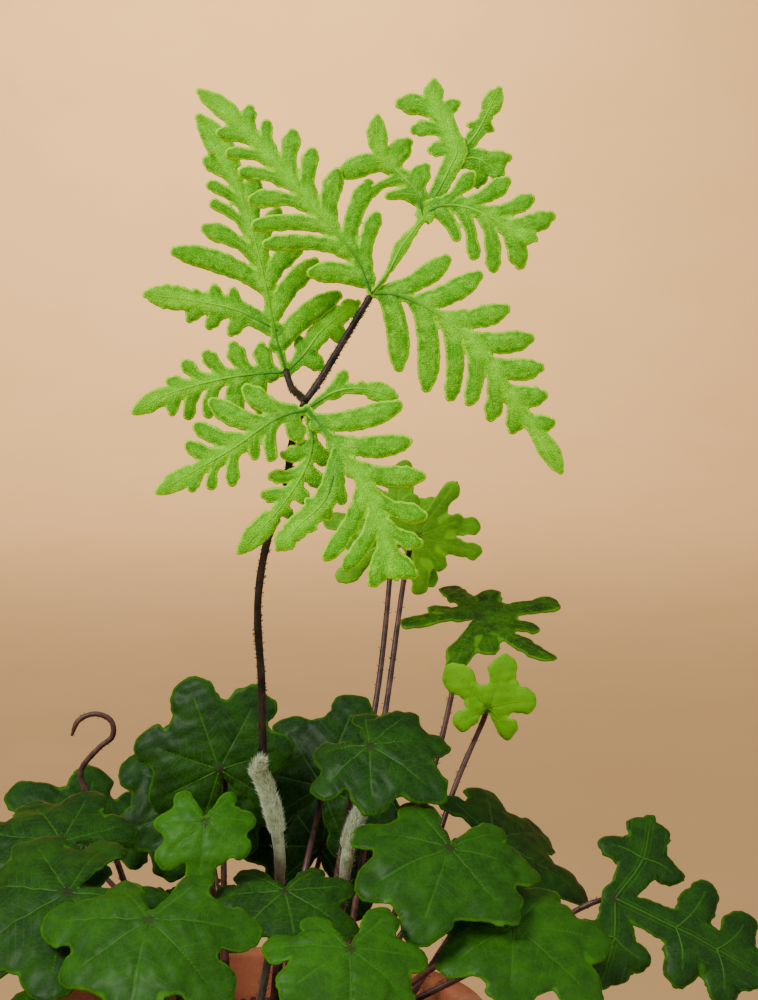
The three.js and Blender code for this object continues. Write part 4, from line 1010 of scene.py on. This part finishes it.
for j, (rib, left, right, span, height) in enumerate(FAR_PINNAE):
    rib, left, right = ([(x * FAR_SIZE, y * FAR_SIZE) for x, y in points] for points in (rib, left, right))
    shape = pinna(rib, left, right, span=span, height=height, lobe=0.24 * FAR_SIZE, tip=0.12 * FAR_SIZE,
                  web=[share * FAR_SIZE for share in (0.08, 0.13, 0.12)], droop=0.004, soft=1.2, wave=0.4,
                  outline=LOBE_SHAPE, run=FAR_SIZE)
    reach = np.array([*rib, *left, *right])
    field = lambda xy, s=shape, n=700 + j: pinna_field(s, np.array(xy, float), n)
    fields.append((reach.min(0) - 8, reach.max(0) + 8, field))
    ribs.append((smooth_line(rib, 30)[:-4], field, 0.3, 1))
    ribs += [(line[:-2], field, 0.6, 1) for line, _, _ in lobes_of(shape)]
add_blade("leaf_far_right_lamina", fields, leaf_plane(FAR_HUB, FAR_ALONG, FAR_FACE), leaf_faces,
          "leaf_far_right_blade", 0.12, ribs, leaf_rib, (0.36, 0.14))
add_stalk("leaf_far_right_petiole", stalk_points(FAR_HUB, FAR_ALONG, FAR_FACE, FAR_ROOT, 0.55), 560, 70,
          "leaf_far_right_stalk")

# Rear fronds
# Young fertile fronds behind the clump, on long thin purple-brown stalks. Their blades are cut deeper
# than the sterile leaves' and are still small: two mid green, one dark and held flat, one yellow-green.
YOUNG_LEAF = {
    "angles": (-52, -20, 15, 53, 90, 127, 165, 200, 232),
    "reach": (0.85, 0.6, 0.95, 0.66, 1, 0.66, 0.95, 0.6, 0.85),
    "notch": (0.16, 0.36, 0.34, 0.4, 0.42, 0.42, 0.4, 0.34, 0.36, 0.16),
    "width": 0.27, "turn": 8, "change": 0.2, "dome": 0.06, "droop": 0.12,
}
FRESH_LEAF = {
    "angles": (-42, 18, 72, 140, 215), "reach": (0.85, 1, 0.95, 1, 0.8),
    "notch": (0.2, 0.42, 0.72, 0.4, 0.42, 0.2), "width": 0.6, "turn": 8, "change": 0.2,
    "dome": 0.06, "droop": 0.12,
}
REAR_FRONDS = {
    "tall": ((48, 70, 244), (0.5, 0.2, 0.8), (0.1, -0.9, 0.4), 21, (26, 26), (39, 58, 196), 0.5),
    "shaded": ((41, 89, 243), (0.1, 0.6, 0.75), (0, -0.8, 0.6), 27, (19, 33), (36, 68, 196), 0.45),
    "flat": ((67, 79, 218), (0.8, 0.5, 0.12), (0, -0.35, 0.92), 31, (36, 32), (56, 68, 184), 0.0),
    "bright": ((69, 53, 195), (0.1, 0.1, 0.9), (0.1, -0.95, 0.3), 16, (42, 22), (58, 50, 168), 1.0),
}
young_faces = [
    leaf_finish("young_green", (0.012, 0.045, 0.002), (0.13, 0.42, 0.002), (0.2, 0.55, 0.002), 0.5, 0.05),
    leaf_finish("young_under", (0.04, 0.11, 0.016), (0.17, 0.45, 0.03), (0.22, 0.55, 0.03), 0.6, 0),
]
young_rib = vein_finish("young_ribs", (0.03, 0.12, 0.003), (0.12, 0.36, 0.004))
for k, (name, (hub, along, face, size, root, by, tone)) in enumerate(REAR_FRONDS.items()):
    leaf = palm_leaf(size, draw, FRESH_LEAF if name == "bright" else YOUNG_LEAF)
    palm_blade("rear_frond_%s_lamina" % name, leaf, leaf_plane(hub, along, face), 800 + 10 * k, young_faces,
               "rear_frond_%s_blade" % name, tone, young_rib if tone else leaf_rib)
    add_stalk("rear_frond_%s_petiole" % name, stalk_points(hub, along, face, root, 0.5, by), 600 + k, 70,
              "rear_frond_%s_stalk" % name)

# Croziers
# New fronds that haven't opened: a thin brown one, coiled at its tip, and two pale ones that are swollen and
# wrapped in silky silver-green hair.
CROZIER_RINGS, CROZIER_FOOT = 110, 1.1
CROZIERS = {
    "thin": ((-26, 20), [
        (-38, 30, 148), (-45, 33, 166), (-49, 33, 174), (-50.4, 33, 180), (-45, 33, 187), (-41, 33, 190.5),
        (-41.5, 33, 195), (-46, 33, 197), (-51, 33, 195), (-53, 33, 190.5)], 0.75, 0),
    "woolly": ((2, -9), [
        (9, -8, 160), (7, -8, 178), (4.5, -8, 186), (3, -9, 190), (4.2, -10.5, 193)], 2, 23),
    "woolly_leaning": ((20, -8), [(26, -8, 150), (28, -7, 166), (30, -7, 174), (32.5, -7, 179)], 1.8, 13),
}


def wool_finish(name, dark, light, foot=None):
    material, shader, place = finish(name, Sheen_Weight=0.5, Sheen_Roughness=0.5)
    tuft = place.speckle(500, 4)
    strand = place.stretched((1, 1, 0.2)).speckle(3000, 3)
    colour = (tuft * 0.6 + strand * 0.4).ramp(0.35, 0.65).blend(dark, light)
    if foot:
        colour = read(place, "grown").ramp(0.85, 1.0).blend(tuft.ramp(0.3, 0.7).blend(*foot), colour)
    paint(shader, colour, tuft * 0.1 + 0.8, strand + tuft, 0.0003, 0.6)
    return material


young_skin = wool_finish("young_skin", (0.11, 0.15, 0.05), (0.36, 0.42, 0.24),
                         ((0.05, 0.025, 0.015), (0.12, 0.09, 0.035)))
young_wool = wool_finish("young_wool", (0.36, 0.44, 0.26), (0.66, 0.76, 0.5))
for k, (name, (root, bends, head, wool_length)) in enumerate(CROZIERS.items()):
    line = smooth_line([*footing(root), *in_space(bends)], CROZIER_RINGS)
    share = np.linspace(0, 1, CROZIER_RINGS)
    swelling = np.interp(share, (0, 0.6, 0.82, 1), (0, 0.15, 1, 0.75)) if wool_length else share
    rounding = np.sqrt(np.clip((1.01 - share) / 0.04, 0.2, 1))
    radii = (CROZIER_FOOT + (head - CROZIER_FOOT) * swelling) * rounding
    radii = [r * MM * (1 + 0.1 * noise.noise(Vector(p) * 300)) for r, p in zip(radii, line)]
    bm = add_tube(bmesh.new(), line, radii, 12)
    if name == "thin":
        add_hairs(bm, line, radii, 160, 0.9 * MM, 0.14 * MM, 1.0, 640, 0.1)
        show(bm, "crozier_thin_coil", stalk_brown, replaced=["crozier_thin"])
    else:
        start = 1 - wool_length * MM / sum(math.dist(a, b) for a, b in zip(line, line[1:]))
        wool = bmesh.new()
        add_hairs(wool, line, radii, 1800, 1.6 * MM, 0.1 * MM, 2.6, 650 + k, start)
        add_hairs(bm, line, radii, 260, 1.1 * MM, 0.1 * MM, 1.6, 660 + k, 0.15, start)
        grown = bm.verts.layers.float.new("grown")
        for vert in bm.verts:
            vert[grown] = (vert.co.z - line[0][2]) / (line[-1][2] - wool_length * MM - line[0][2])
        show(bm, "crozier_%s_shoot" % name, young_skin, replaced=["crozier_" + name])
        show(wool, "crozier_%s_hair" % name, young_wool, smooth=False)

# Stage
# A plain pale floor that sweeps up behind into a plain wall, lit softly from the upper left. The camera is
# where the onlooker stands, about as high as the tall frond, and looks slightly down.
SWEEP_FRONT, SWEEP_BACK, SWEEP_RADIUS, SWEEP_HEIGHT, SWEEP_WIDTH = -7.0, 1.9, 1.1, 3.2, 14.0
SWEEP_STEPS = 24
SENSOR, HALF_VIEW = 36, 0.16875


def plain_paper():
    material, shader, place = finish("plain_paper", Roughness=0.95)
    grain = place.speckle(9, 3)
    paint(shader, grain.ramp(0.2, 0.8).blend((0.56, 0.33, 0.125), (0.59, 0.35, 0.14)))
    return material


bm = bmesh.new()
bend = [(SWEEP_BACK + math.sin(a) * SWEEP_RADIUS, SWEEP_RADIUS - math.cos(a) * SWEEP_RADIUS)
        for a in np.linspace(0, math.pi / 2, SWEEP_STEPS)]
bend = [(SWEEP_FRONT, 0), *bend, (bend[-1][0], SWEEP_HEIGHT)]
edge = [bm.verts.new((-SWEEP_WIDTH / 2, y, z)) for y, z in bend]
lines = [bm.edges.new(pair) for pair in zip(edge, edge[1:])]
side = bmesh.ops.extrude_edge_only(bm, edges=lines)["geom"]
bmesh.ops.translate(bm, vec=(SWEEP_WIDTH, 0, 0), verts=[v for v in side if isinstance(v, bmesh.types.BMVert)])
bmesh.ops.recalc_face_normals(bm, faces=bm.faces)
sweep = placed(bm, "sweep", plain_paper())

camera = bpy.data.objects.new("camera", bpy.data.cameras.new("camera"))
camera.data.lens = SENSOR / 2 / HALF_VIEW
camera.data.sensor_width = SENSOR
camera.location = Vector((36.6, -816, 364)) * MM
camera.rotation_euler = (math.pi / 2 - VIEW_TILT, 0, 0)
bpy.context.scene.collection.objects.link(camera)
bpy.context.scene.camera = camera
world = bpy.data.worlds.new("studio")
world.use_nodes = True
world.node_tree.nodes["Background"].inputs["Color"].default_value = (0.95, 0.97, 1.0, 1)
world.node_tree.nodes["Background"].inputs["Strength"].default_value = 0.55
bpy.context.scene.world = world
LAMPS = {
    "key": ((-0.75, -0.85, 1.35), (0.02, 0, 0.22), 0.6, 30, (1.0, 0.97, 0.92)),
    "fill": ((1.2, -0.9, 0.7), (0.02, 0, 0.22), 1.0, 5, (1.0, 0.95, 0.9)),
    "backdrop": ((-0.15, 2.15, 1.25), (-0.15, 2.75, 0.4), 0.5, 34, (1.0, 0.9, 0.74)),
}
for name, (place, target, size, power, tint) in LAMPS.items():
    light = bpy.data.lights.new(name, "AREA")
    light.size = size
    light.energy = power
    light.color = tint
    lamp = bpy.data.objects.new(name, light)
    lamp.location = place
    lamp.rotation_euler = (Vector(target) - Vector(place)).to_track_quat("-Z", "Y").to_euler()
    bpy.context.scene.collection.objects.link(lamp)
